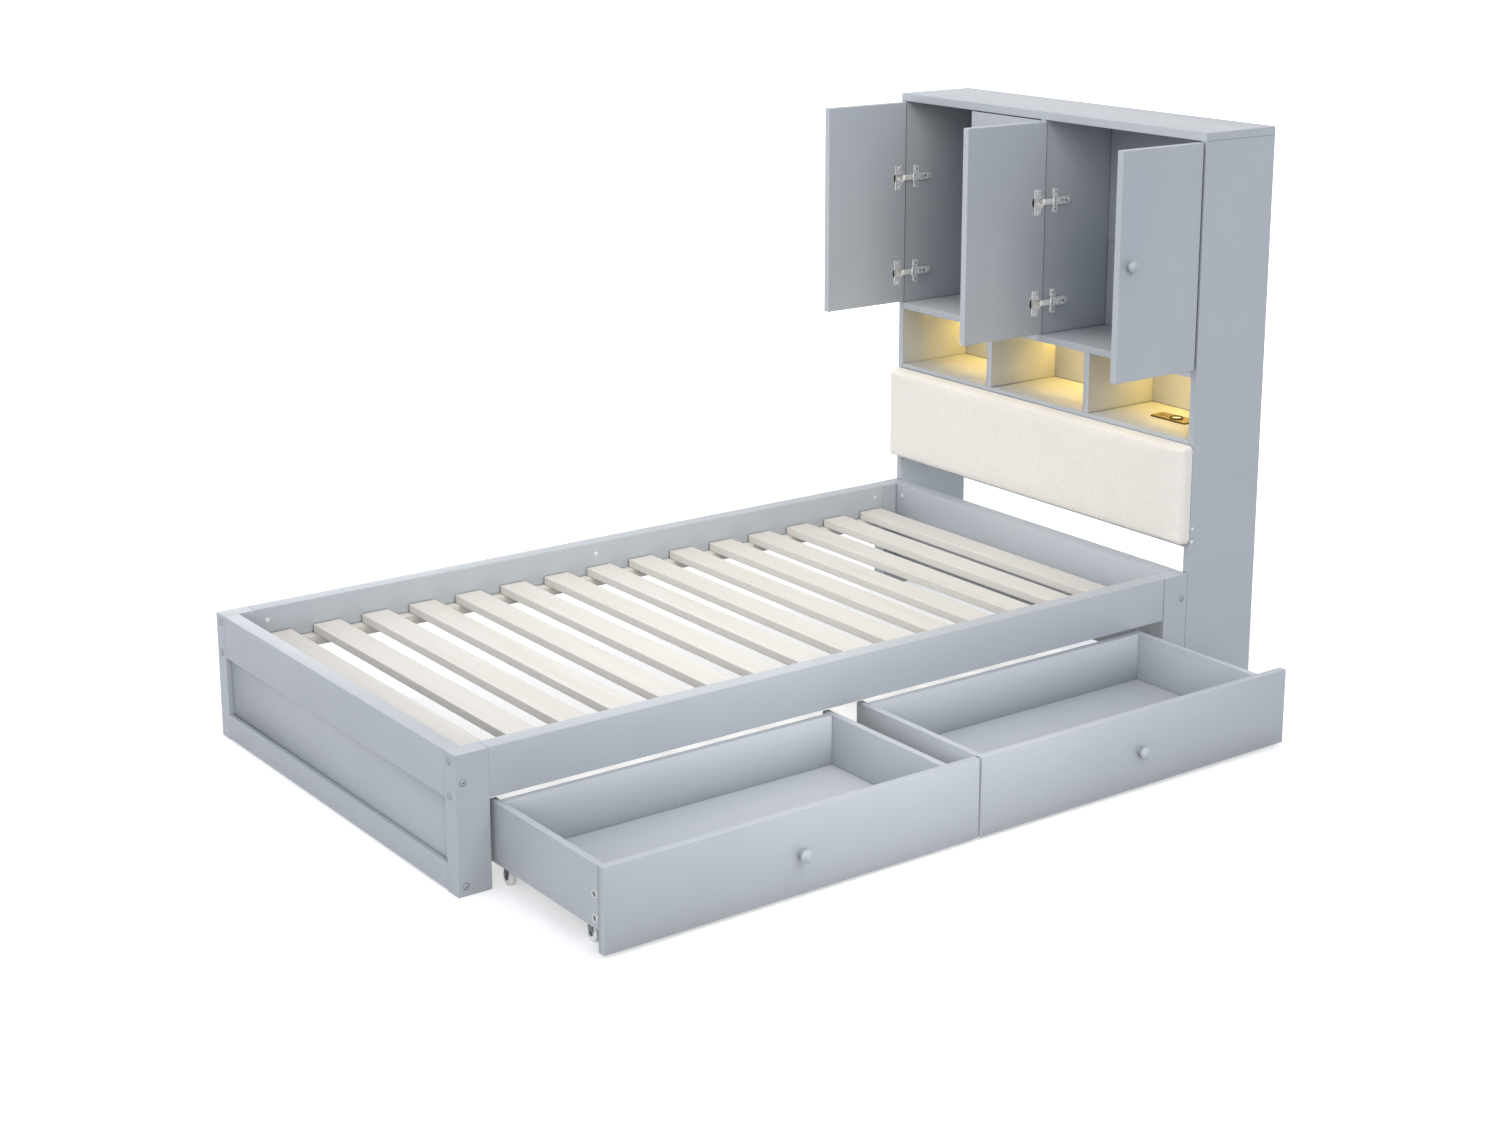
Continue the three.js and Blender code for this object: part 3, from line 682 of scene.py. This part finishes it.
def door_leaf(door):
    """The leaf with both cups, drawn shut about its pivot with the opening towards +x, then hung."""
    n, s = door["number"], door["s"]
    pivot, pin, cup_x, radius = hinge_plan(door)
    edge, inside = 3 * MM - pivot.x, THICK * MM - pivot.y
    low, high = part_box(f"door_{n}")
    hung = (Matrix.Translation((BED_MIDDLE + door["face"] + s * pivot.x, HEADBOARD_FACE + pivot.y, 0))
            @ turn(-90 * s if door["open"] else 0, "z"))
    near, far = sorted((s * edge, s * (edge + LEAF_WIDE)))
    leaf = block(f"door_{n}_leaf", (near, -pivot.y, low.z), (far, inside, high.z))
    ease(leaf, 1.4 * MM)
    x = s * (cup_x - pivot.x)
    for z in HINGE_LEVELS.values():
        cut(leaf, drum("pocket", (x, inside, z), radius + 0.3 * MM, 24 * MM, "y", 48))
    smoothed(leaf)
    placed(leaf, hung)
    belongs(leaf, f"door_leaf_{n}", "paint", f"door_{n}")
    for level, z in HINGE_LEVELS.items():
        at = hung @ Matrix.Translation((x, inside, z)) @ turn(-90, "x")
        # The black half liner is painted shadow on the cup's floor and wall
        skins = {"flange": None, "bowl": neck_steel, "liner": shadow_black}
        for piece, (label, skin) in zip(hinge_cup(radius, s), skins.items()):
            piece.name = piece.data.name = f"door_{n}_cup_{label}_{level}"
            placed(piece, at)
            belongs(piece, f"door_leaf_{n}", "nickel", f"door_{n}", skin=skin)


def hinge_cup(radius, s):
    """Cup and flange seen along z, with z = 0 the leaf's inner face and y up the leaf turned downwards."""
    rim, depth, wall, way = radius + 1.2 * MM, 11.4 * MM, 0.45 * MM, 8.6 * MM
    flange_half, flange_top, screw_out = 33.5 * MM, 2.2 * MM, 26 * MM
    near, far = sorted((-10 * MM * s, 12 * MM * s))
    flange = block("flange", (near, -flange_half, -0.2 * MM), (far, flange_half, flange_top))
    pick_edges(flange, along(2))
    bevel_picked(3.6 * MM, 5)
    pick_edges(flange, lambda a, b: a.z > 2 * MM and b.z > 2 * MM)
    bevel_picked(1.0 * MM, 3)
    cut(flange, block("way", (-30 * MM, -way, -8 * MM), (30 * MM, way, 8 * MM)))
    ring = drum("ring", (0, 0, 0.2 * MM), rim, 0.8 * MM, sides=56)
    pick_edges(ring, lambda a, b: a.z > 0.5 * MM and b.z > 0.5 * MM)
    bevel_picked(0.4 * MM, 2)
    cut(ring, drum("hole", (0, 0, 0), radius, 8 * MM, sides=56))
    bowl = drum("bowl", (0, 0, -depth / 2 + 0.1 * MM), radius + 0.25 * MM, depth, sides=56)
    cut(bowl, drum("hollow", (0, 0, 0), radius - 0.05 * MM, depth * 2 - 2 * wall, sides=56))
    head = screw_head("flange_screw", 4.2 * MM, 1.4 * MM)
    heads = [copy_of(head, "flange_screw", shift(x=-2 * MM * s, y=y, z=flange_top))
             for y in (-screw_out, screw_out)]
    bpy.data.objects.remove(head)
    cup = smoothed(joined("cup", flange, ring, *heads), 35)
    # A black half liner inside the cup: painted shadow where the cup's floor lies in shade
    liner = drum("liner", (0, 0, -5.7 * MM), radius - 0.06 * MM, 10.4 * MM, sides=56)
    cut(liner, drum("hollow", (0, 0, 0), radius - 0.22 * MM, 21.2 * MM, sides=56))
    low, high = sorted((-40 * MM * s, 2.5 * MM * s))
    cut(liner, block("half", (low, -40 * MM, -20 * MM), (high, 40 * MM, 20 * MM)))
    return cup, smoothed(bowl, 35), smoothed(liner, 35)


def hinge_arm(pin):
    """Mounting plate and arm, with black plates as painted shadow in the hole and the screw recesses: x out
    from the board, y into the cabinet, z up.
    """
    top, arm_y, tail = pin.x + 3.4 * MM, pin.y + 5 * MM, pin.y + 64 * MM
    wing_half, wing_top, arm_half = 31 * MM, 2.5 * MM, 9.6 * MM
    wing_screw_y, well_y, tail_screw_y, wing_screws = 37 * MM, 48 * MM, 74 * MM, (-21 * MM, 21 * MM)
    wings = block("wings", (-0.2 * MM, 28 * MM, -wing_half), (wing_top, 46 * MM, wing_half))
    pick_edges(wings, along(0))
    bevel_picked(5 * MM, 6)
    pick_edges(wings, lambda a, b: a.x > 2.4 * MM and b.x > 2.4 * MM)
    bevel_picked(0.9 * MM, 3)
    foot = block("foot", (-0.2 * MM, 29.5 * MM, -8.8 * MM), (3 * MM, tail - 5 * MM, 8.8 * MM))
    ease(foot, 0.5 * MM, 2)
    arm = block("arm", (1.2 * MM, arm_y, -arm_half), (top, tail, arm_half))
    open_whole(arm, "FACE")
    bpy.ops.mesh.bisect(plane_co=(0, tail - 24 * MM, 0), plane_no=(0, 1, 0))
    close_mesh()
    pick_edges(arm, lambda a, b: min(a.y, b.y) > tail - MM and min(a.x, b.x) > top - MM)
    bpy.ops.transform.translate(value=(6 * MM - top, 0, 0))
    close_mesh()
    pick_edges(arm, lambda a, b: min(a.y, b.y) > tail - MM and abs(a.z - b.z) < MM)
    bevel_picked(6 * MM, 5)
    pick_edges(arm, lambda a, b: min(a.x, b.x) > 5 * MM and not abs(a.z - b.z) > 17 * MM)
    bevel_picked(1.8 * MM, 3)
    hole = block("hole", (top - 4 * MM, 57 * MM, -2.6 * MM), (30 * MM, 65 * MM, 2.6 * MM))
    pick_edges(hole, along(0))
    bevel_picked(2.5 * MM, 6)
    cut(arm, hole, drum("well", (top, well_y, 0), 4.2 * MM, 3 * MM, "x", 32),
        block("hollow", (-1 * MM, arm_y + 2 * MM, -7.4 * MM), (top - 1.6 * MM, 54 * MM, 7.4 * MM)))
    cheeks = []
    for side in (-1, 1):
        z = sorted((side * 7.5 * MM, side * 9.4 * MM))
        cheek = block("cheek", (pin.x - 3.4 * MM, pin.y - 3.4 * MM, z[0]), (top, arm_y + 6 * MM, z[1]))
        pick_edges(cheek, along(2))
        bevel_picked(3.0 * MM, 5)
        cheeks.append(ease(cheek, 0.25 * MM, 1))
    rod = drum("rod", (pin.x, pin.y, 0), 2 * MM, 19.6 * MM, "z", 24)
    heads = [drum("head", (pin.x, pin.y, side * arm_half), 2.7 * MM, 0.7 * MM, "z", 24) for side in (-1, 1)]
    fixing = screw_head("fixing", 4.8 * MM, 1.7 * MM)
    out, smaller = FACING["+x"], Matrix.Scale(0.8, 4)
    screws = [copy_of(fixing, "wing_screw", shift(wing_top, wing_screw_y, z) @ out) for z in wing_screws]
    screws.append(copy_of(fixing, "tail_screw", shift(top - 2.8 * MM, tail_screw_y) @ turn(14, "z") @ out))
    screws.append(copy_of(fixing, "setting_screw", shift(top - 1.5 * MM, well_y) @ out @ smaller))
    bpy.data.objects.remove(fixing)
    # Black plates in the arm's hole and in the wing screws' recesses: painted shadow
    sockets = [block("socket", (top - 4.1 * MM, 57.2 * MM, -2.4 * MM), (top - 3.2 * MM, 64.8 * MM, 2.4 * MM))]
    for z in wing_screws:
        sockets.append(drum("socket", (wing_top + 1 * MM, wing_screw_y, z), 2.0 * MM, 1.44 * MM, "x", 20))
    arm_and_plate = smoothed(joined("hinge_arm", wings, foot, arm, *cheeks, rod, *heads, *screws), 35)
    return arm_and_plate, smoothed(joined("hinge_sockets", *sockets), 35)


def arms_and_boards():
    """The boards that carry the hinges, grooved beside the doors, and the eight arms on them."""
    # Each board's two faces from the middle, its grooved faces and how far behind its front they start, in mm
    boards = {"headboard_side_left": (-548, -530, (-530,), 0.7),
              "headboard_side_right": (530, 548, (530,), 0.7),
              "cabinet_partition": (-9, 9, (-9, 9), 4.0)}
    groove_deep, groove_wide = 1.5, 2.2
    front = HEADBOARD_FACE
    door_low, door_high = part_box("door_1")
    for node, (x0, x1, grooved, behind) in boards.items():
        low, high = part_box(node)
        board = block(node + "_board", (BED_MIDDLE + x0 * MM, front, low.z),
                      (BED_MIDDLE + x1 * MM, high.y, high.z))
        ease(board, 1.2 * MM)
        for x in grooved:
            cut(board, block("groove", (BED_MIDDLE + (x - groove_deep) * MM, front + behind * MM, door_low.z),
                             (BED_MIDDLE + (x + groove_deep) * MM, front + (behind + groove_wide) * MM,
                              door_high.z)))
        smoothed(board)
        belongs(board, "bed", "paint", node)
    carriers = {1: "headboard_side_left", 2: "cabinet_partition", 3: "cabinet_partition",
                4: "headboard_side_right"}
    for door in DOORS:
        models = hinge_arm(hinge_plan(door)[1])
        for level, z in HINGE_LEVELS.items():
            place = Matrix.Translation((BED_MIDDLE + door["face"], HEADBOARD_FACE, z))
            if door["s"] < 0:
                place = place @ turn(180, "y")
            # The second model is the black plates, which are painted shadow
            for model, (label, skin) in zip(models, (("arm", None), ("sockets", shadow_black))):
                piece = copy_of(model, f"hinge_{label}_{door['number']}_{level}", place)
                belongs(piece, "bed", "nickel", carriers[door["number"]], skin=skin)
        for model in models:
            bpy.data.objects.remove(model)


# Knobs

def knobs():
    """A foot, a neck, a collar and a bevelled head, turned once and set on doors and drawers."""
    outline = [(9.6, 0), (10, 0.4), (10, 2.6), (9.5, 3), (7.2, 3.2), (7, 3.8), (7, 9.2), (7.4, 9.8),
               (12.3, 10), (12.8, 10.5), (12.8, 12.6), (13.2, 13), (13.7, 13.1), (14, 13.6), (14, 18.4),
               (13.5, 19), (12.4, 19.4), (8.9, 23.1), (8.2, 23.7), (5, 24.5), (2, 24.9), (0.4, 25)]
    model = turned("knob", in_mm(outline), 64)
    smoothed(model, 32, weighted=False)
    faced = {"door_knob_1": "-x", "door_knob_2": "-y", "door_knob_3": "-x", "door_knob_4": "+x",
             "drawer_1_knob": "+x", "drawer_2_knob": "+x"}
    for node, way in faced.items():
        low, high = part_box(node)
        middle = (low + high) / 2
        axis = "xyz".index(way[1])
        middle[axis] = low[axis] if way[0] == "+" else high[axis]
        body = "door_leaf_" + node[-1] if node.startswith("door") else node.removesuffix("_knob")
        piece = copy_of(model, node + "_turned", Matrix.Translation(middle) @ FACING[way])
        belongs(piece, body, "paint", node, skin=faint_shade_paint)
    bpy.data.objects.remove(model)


# Drawer bottoms and casters

def caster_fork():
    """A pressed bracket over a wheel whose axle is at the origin."""
    top = 44 * MM
    plate_under, plate_half, fork_half = top - 3 * MM, 19 * MM, 9.2 * MM
    cheek_half, foot_half = 12.6, 4.8
    plate = block("plate", (-plate_half, -fork_half, plate_under), (plate_half, fork_half, top + 0.2 * MM))
    pick_edges(plate, along(2))
    bevel_picked(3 * MM, 4)
    ease(plate, 0.3 * MM, 1)
    parts = [plate]
    for side in (-1, 1):
        y = sorted((side * 7.2 * MM, side * fork_half))
        cheek = block("cheek", (-cheek_half * MM, y[0], -5 * MM), (cheek_half * MM, y[1], top - 2 * MM))
        pick_edges(cheek, lambda a, b: a.z < 0 and b.z < 0 and abs(a.x - b.x) < MM)
        bpy.ops.transform.resize(value=(foot_half / cheek_half, 1, 1), center_override=(0, 0, -5 * MM))
        bevel_picked(4.4 * MM, 5)
        parts.append(ease(cheek, 0.3 * MM, 1))
        parts.append(drum("axle_head", (0, side * 9.5 * MM, 0), 3.8 * MM, 1.2 * MM, "y", 24))
    parts.append(drum("axle", (0, 0, 0), 3 * MM, 18.6 * MM, "y", 24))
    head = screw_head("plate_screw", 2.6 * MM, 0.9 * MM)
    for x in (-15.6, 15.6):
        parts.append(copy_of(head, "plate_screw", shift(x=x * MM, z=plate_under) @ FACING["-z"]))
    bpy.data.objects.remove(head)
    return smoothed(joined("caster_fork", *parts), 35)


def caster_wheel():
    """A moulded wheel with a rounded tread, dished sides and a hub, about the y axis."""
    tread, tread_half = 17.0, 2.4
    side = [(16.95, 4.4), (16.5, 5.5), (15.6, 6.0), (13.8, 6.0), (13.2, 5.2), (12.4, 4.9), (7.2, 4.9),
            (6.3, 5.2), (6.0, 6.4), (6.0, 6.6)]
    wheel = drum("caster_wheel", (0, 0, 0), tread * MM, 2 * tread_half * MM, sides=48)
    for way in (1, -1):                                  # each side is drawn from the tread in to the hub
        pick_faces(wheel, lambda c, n: n.z * way > 0.99)
        radius, height = tread, tread_half
        for r, h in side:
            rise = way * (h - height) * MM
            bpy.ops.mesh.extrude_region_move(TRANSFORM_OT_translate={"value": (0, 0, rise)})
            bpy.ops.transform.resize(value=(r / radius, r / radius, 1), center_override=(0, 0, way * h * MM))
            radius, height = r, h
        close_mesh()
    cut(wheel, drum("bore", (0, 0, 0), 3.1 * MM, 20 * MM, sides=24))
    ribs = []
    for degrees in (0, 60, 120):
        rib = block("rib", (-13.2 * MM, -0.6 * MM, -5.7 * MM), (13.2 * MM, 0.6 * MM, 5.7 * MM))
        ribs.append(placed(rib, turn(degrees, "z")))
    for rib in ribs:
        cut(rib, drum("bore", (0, 0, 0), 5 * MM, 20 * MM, sides=24))
    wheel = joined("caster_wheel", wheel, *ribs)
    placed(wheel, turn(90, "x"))
    return smoothed(wheel, 35, weighted=False)


def drawers():
    """The bottoms with their casters, and the cam fixings in the sides."""
    fork, wheel = caster_fork(), caster_wheel()
    cams = cam_bolt()
    board_thick, cam_from_end, cam_levels = 8 * MM, 12 * MM, (("upper", 120.5), ("lower", 72.5))
    for d in (1, 2):
        body = f"drawer_{d}"
        low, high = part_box(f"{body}_bottom")
        board = block(f"{body}_bottom_board", (low.x, low.y, high.z - board_thick), high)
        smoothed(ease(board, 0.8 * MM, 2))
        belongs(board, body, "paint", f"{body}_bottom", skin=faint_shade_paint)
        for w in range(1, 5):
            a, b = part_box(f"{body}_wheel_{w}")
            spot = Matrix.Translation((a + b) / 2)
            bracket = copy_of(fork, f"{body}_fork_{w}", spot)
            belongs(bracket, body, "nickel", f"{body}_bottom", skin=zinc_steel)
            roller = copy_of(wheel, f"{body}_wheel_{w}_moulded", spot)
            belongs(roller, f"caster_{d}_{w}", "white_plastic", f"{body}_wheel_{w}")
        for side, way in (("left", "-y"), ("right", "+y")):
            a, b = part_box(f"{body}_side_{side}")
            for level, z in cam_levels:
                spot = Matrix.Translation((b.x - cam_from_end, a.y if side == "left" else b.y, z * MM))
                for model, skin in zip(cams, (neck_steel, zinc_steel)):
                    piece = copy_of(model, f"{body}_{model.name}_{side}_{level}", spot @ FACING[way])
                    belongs(piece, body, "nickel", skin=skin)
    for o in (fork, wheel, *cams):
        bpy.data.objects.remove(o)


# Charging station

def charging_station():
    """A black unit let into the niche floor, with a ring round a pad, under a bronze cover plate."""
    low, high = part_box("charging_station")
    middle = (low + high) / 2
    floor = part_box("niche_floor")[1].z
    x, y = middle.x, middle.y
    pad_x, half_long, half_wide, inset = x + 8 * MM, 52 * MM, 17 * MM, 1.6 * MM

    def ports(bottom):
        """Cutters for a wide and a narrow port beside the pad, from this height upwards."""
        return [block("port", (x - start * MM, y - front * MM, bottom),
                      (x - end * MM, y - back * MM, floor + 9 * MM))
                for start, end, front, back in ((44, 31, 6, 0.5), (27, 17.5, 5.4, 1.6))]

    body = block("charger_body", (x - half_long, y - half_wide, low.z),
                 (x + half_long, y + half_wide, floor + 1 * MM))
    lip = block("charger_lip", (low.x, low.y, floor), (high.x, high.y, floor + 3.2 * MM))
    pick_edges(lip, along(2))
    bevel_picked(7.6 * MM, 8)
    pick_edges(lip, lambda a, b: a.z > floor + 3 * MM and b.z > floor + 3 * MM)
    bevel_picked(0.8 * MM, 3)
    cut(lip, drum("well", (pad_x, y, floor + 4 * MM), 14 * MM, 4 * MM, sides=56), *ports(floor + 1 * MM))
    rim = ((17, 2), (17, 6.2), (16.6, 6.8), (16.0, 7), (14.6, 7), (14.1, 6.6))
    ring = turned("charger_ring", [(r * MM, floor + h * MM) for r, h in rim], 64)
    cut(ring, drum("hollow", (0, 0, floor + 8 * MM), 13.9 * MM, 14 * MM, sides=64))
    placed(ring, shift(pad_x, y, 0))
    unit = smoothed(joined("charging_station_unit", body, lip, ring), 35)
    belongs(unit, "bed", "black_plastic", "charging_station")
    plate = block("charger_face", (low.x + inset, low.y + inset, floor + 2.6 * MM),
                  (high.x - inset, high.y - inset, floor + 3.8 * MM))
    pick_edges(plate, along(2))
    bevel_picked(6.2 * MM, 8)
    pick_edges(plate, lambda a, b: a.z > floor + 3.5 * MM and b.z > floor + 3.5 * MM)
    bevel_picked(0.4 * MM, 2)
    cut(plate, drum("hole", (pad_x, y, floor), 17.2 * MM, 20 * MM, sides=64), *ports(floor))
    smoothed(plate, 35)
    belongs(plate, "bed", "black_plastic", "charging_station", skin=bronze_glass)
    face = ((13.6, 1.5), (13.6, 3.2), (13, 3.7), (11, 3.9))
    pad = turned("charger_pad", [(r * MM, floor + h * MM) for r, h in face], 56)
    placed(pad, shift(pad_x, y, 0))
    smoothed(pad, 35, weighted=False)
    belongs(pad, "bed", "white_plastic", "charging_station")


# Camera, lamps and floor

def towards(azimuth, elevation):
    """The way to something seen at these angles, counted from the foot of the bed, in degrees."""
    a, e = radians(azimuth), radians(elevation)
    return Vector((sin(a) * cos(e), -cos(a) * cos(e), sin(e)))


def camera():
    data = bpy.data.cameras.new("camera")
    data.sensor_width = 36
    data.lens = 57.97
    data.shift_x, data.shift_y = -0.02127, -0.08567
    o = bpy.data.objects.new("camera", data)
    bpy.context.scene.collection.objects.link(o)
    o.location = (4.1942, -3.1929, 1.9991)
    aim = (-towards(53.317, 13.886)).to_track_quat("-Z", "Y").to_matrix()
    roll = Matrix.Rotation(0.0018, 3, "Z")
    o.rotation_euler = (aim @ roll).to_euler()
    bpy.context.scene.camera = o


WARM = (1.0, 0.982, 0.935)
WARMER = (1.0, 0.91, 0.76)
COOL = (0.905, 0.98, 1.15, 1)
AMBER = (1.0, 0.645, 0.12)
AMBER_GLOW = (1.0, 0.68, 0.27)


def lamp(name, place, target, size, power, tint=(1, 1, 1), length=None, spread=180):
    """A soft round lamp, or an oblong one where it has a length."""
    data = bpy.data.lights.new(name, "AREA")
    data.spread = radians(spread)
    data.shape = "RECTANGLE" if length else "DISK"
    data.size = size
    if length:
        data.size_y = length
    data.energy = power
    data.color = tint
    o = bpy.data.objects.new(name, data)
    bpy.context.scene.collection.objects.link(o)
    o.location = place
    o.rotation_euler = (Vector(target) - Vector(place)).to_track_quat("-Z", "Y").to_euler()


def far_lamp(name, azimuth, elevation, strength, tint):
    """A soft lamp so far off that it lights every part alike."""
    data = bpy.data.lights.new(name, "SUN")
    data.energy, data.angle, data.color = strength, 0.5, tint
    o = bpy.data.objects.new(name, data)
    bpy.context.scene.collection.objects.link(o)
    o.rotation_euler = towards(azimuth, elevation).to_track_quat("Z", "Y").to_euler()


def white_where_seen(tree, soft, white, out):
    """Camera, mirror and see-through rays get the white, every other ray the soft light."""
    path = tree.nodes.new("ShaderNodeLightPath")
    seen = path.outputs["Is Camera Ray"]
    for name in ("Is Glossy Ray", "Is Transmission Ray"):
        either = tree.nodes.new("ShaderNodeMath")
        either.operation = "MAXIMUM"
        tree.links.new(seen, either.inputs[0])
        tree.links.new(path.outputs[name], either.inputs[1])
        seen = either.outputs[0]
    mix = tree.nodes.new("ShaderNodeMixShader")
    tree.links.new(seen, mix.inputs[0])
    tree.links.new(soft.outputs[0], mix.inputs[1])
    tree.links.new(white.outputs[0], mix.inputs[2])
    tree.links.new(mix.outputs[0], out)


def studio():
    """A pale floor that is white to the eye, a soft world and the lamps."""
    scene = bpy.context.scene
    scene.view_settings.view_transform = "Standard"
    world = bpy.data.worlds.new("studio")
    scene.world = world
    world.use_nodes = True
    tree = world.node_tree
    tree.nodes.clear()
    out = tree.nodes.new("ShaderNodeOutputWorld")
    levels = []
    for strength, tint in ((0.57, COOL), (1.0, (1, 1, 1, 1))):
        level = tree.nodes.new("ShaderNodeBackground")
        level.inputs["Color"].default_value = tint
        level.inputs["Strength"].default_value = strength
        levels.append(level)
    white_where_seen(tree, levels[0], levels[1], out.inputs[0])

    bpy.ops.object.select_all(action="DESELECT")
    bpy.ops.mesh.primitive_plane_add(size=60, location=(0, 0, 0))
    floor = settled("floor")
    f = Finish("white_floor", (0.8, 0.8, 0.8, 1), 0.9)
    f.set(Specular_IOR_Level=0.0)
    bounce = f.node("BsdfDiffuse", Color=(0.48, 0.48, 0.48, 1))
    reach = f.node("VectorMath", Vector=f.node("TexCoord").outputs["Object"])
    reach.operation = "LENGTH"
    # The seen floor glows less near the bed, so that the shadow stays
    far = f.node("MapRange", Value=reach.outputs["Value"], From_Min=1.6, From_Max=4.5,
                 To_Min=0.42, To_Max=1.0)
    glow = f.node("Emission", Strength=far.outputs["Result"])
    both = f.tree.nodes.new("ShaderNodeAddShader")
    f.tree.links.new(f.shader.outputs[0], both.inputs[0])
    f.tree.links.new(glow.outputs[0], both.inputs[1])
    white_where_seen(f.tree, bounce, both, f.tree.nodes["Material Output"].inputs["Surface"])
    floor.data.materials.append(f.material)

    far_lamp("key", 65, 18, 1.20, WARM)
    far_lamp("front", -12, 24, 0.66, WARM)
    lamp("overhead", (-0.2, -0.1, 4.2), (-0.2, -0.1, 0), 4.0, 58, WARMER)
    lamp("head_front", (-0.3, -0.8, 2.6), (-0.2, 0.88, 1.0), 1.6, 3.6, WARM, spread=120)
    lamp("rail_side", (1.3, -0.33, 1.7), (0.35, -0.33, 0.25), 0.6, 5.2, WARM, length=2.4, spread=80)
    lamp("back", (-0.6, 4.3, 1.6), (-0.2, 1.1, 0.6), 2.5, 38)
    lamp("under_head", (0.1, 1.9, 0.2), (-0.6, 1.0, 0.4), 0.5, 1.2)
    lamp("left_side", (-4.2, 0.1, 1.5), (-0.7, 0.1, 0.4), 2.5, 26)


def niche_lamps():
    """In each niche, the strip's own light downwards and a weaker one from the front that fills the walls."""
    low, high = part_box("led_strip")
    left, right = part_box("niche_divider_left"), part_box("niche_divider_right")
    niches = ((low.x, left[0].x), (left[1].x, right[0].x), (right[1].x, high.x))
    y = (low.y + high.y) / 2
    for i, (start, end) in enumerate(niches, 1):
        x, wide = (start + end) / 2, end - start - 0.02
        lamp(f"niche_lamp_{i}", (x, y, low.z - 2 * MM), (x, y + 50 * MM, low.z - 0.1), wide, 0.82,
             AMBER, length=0.01)
        lamp(f"niche_glow_{i}", (x, HEADBOARD_FACE + 4 * MM, low.z - 22 * MM),
             (x, y + 60 * MM, low.z - 0.08), wide * 0.45, 0.27, AMBER_GLOW, length=0.03, spread=125)


keep_cad_nodes()
legs()
slat_base()
cushion()
fixings()
for door in DOORS:
    door_leaf(door)
arms_and_boards()
knobs()
drawers()
charging_station()
camera()
studio()
niche_lamps()
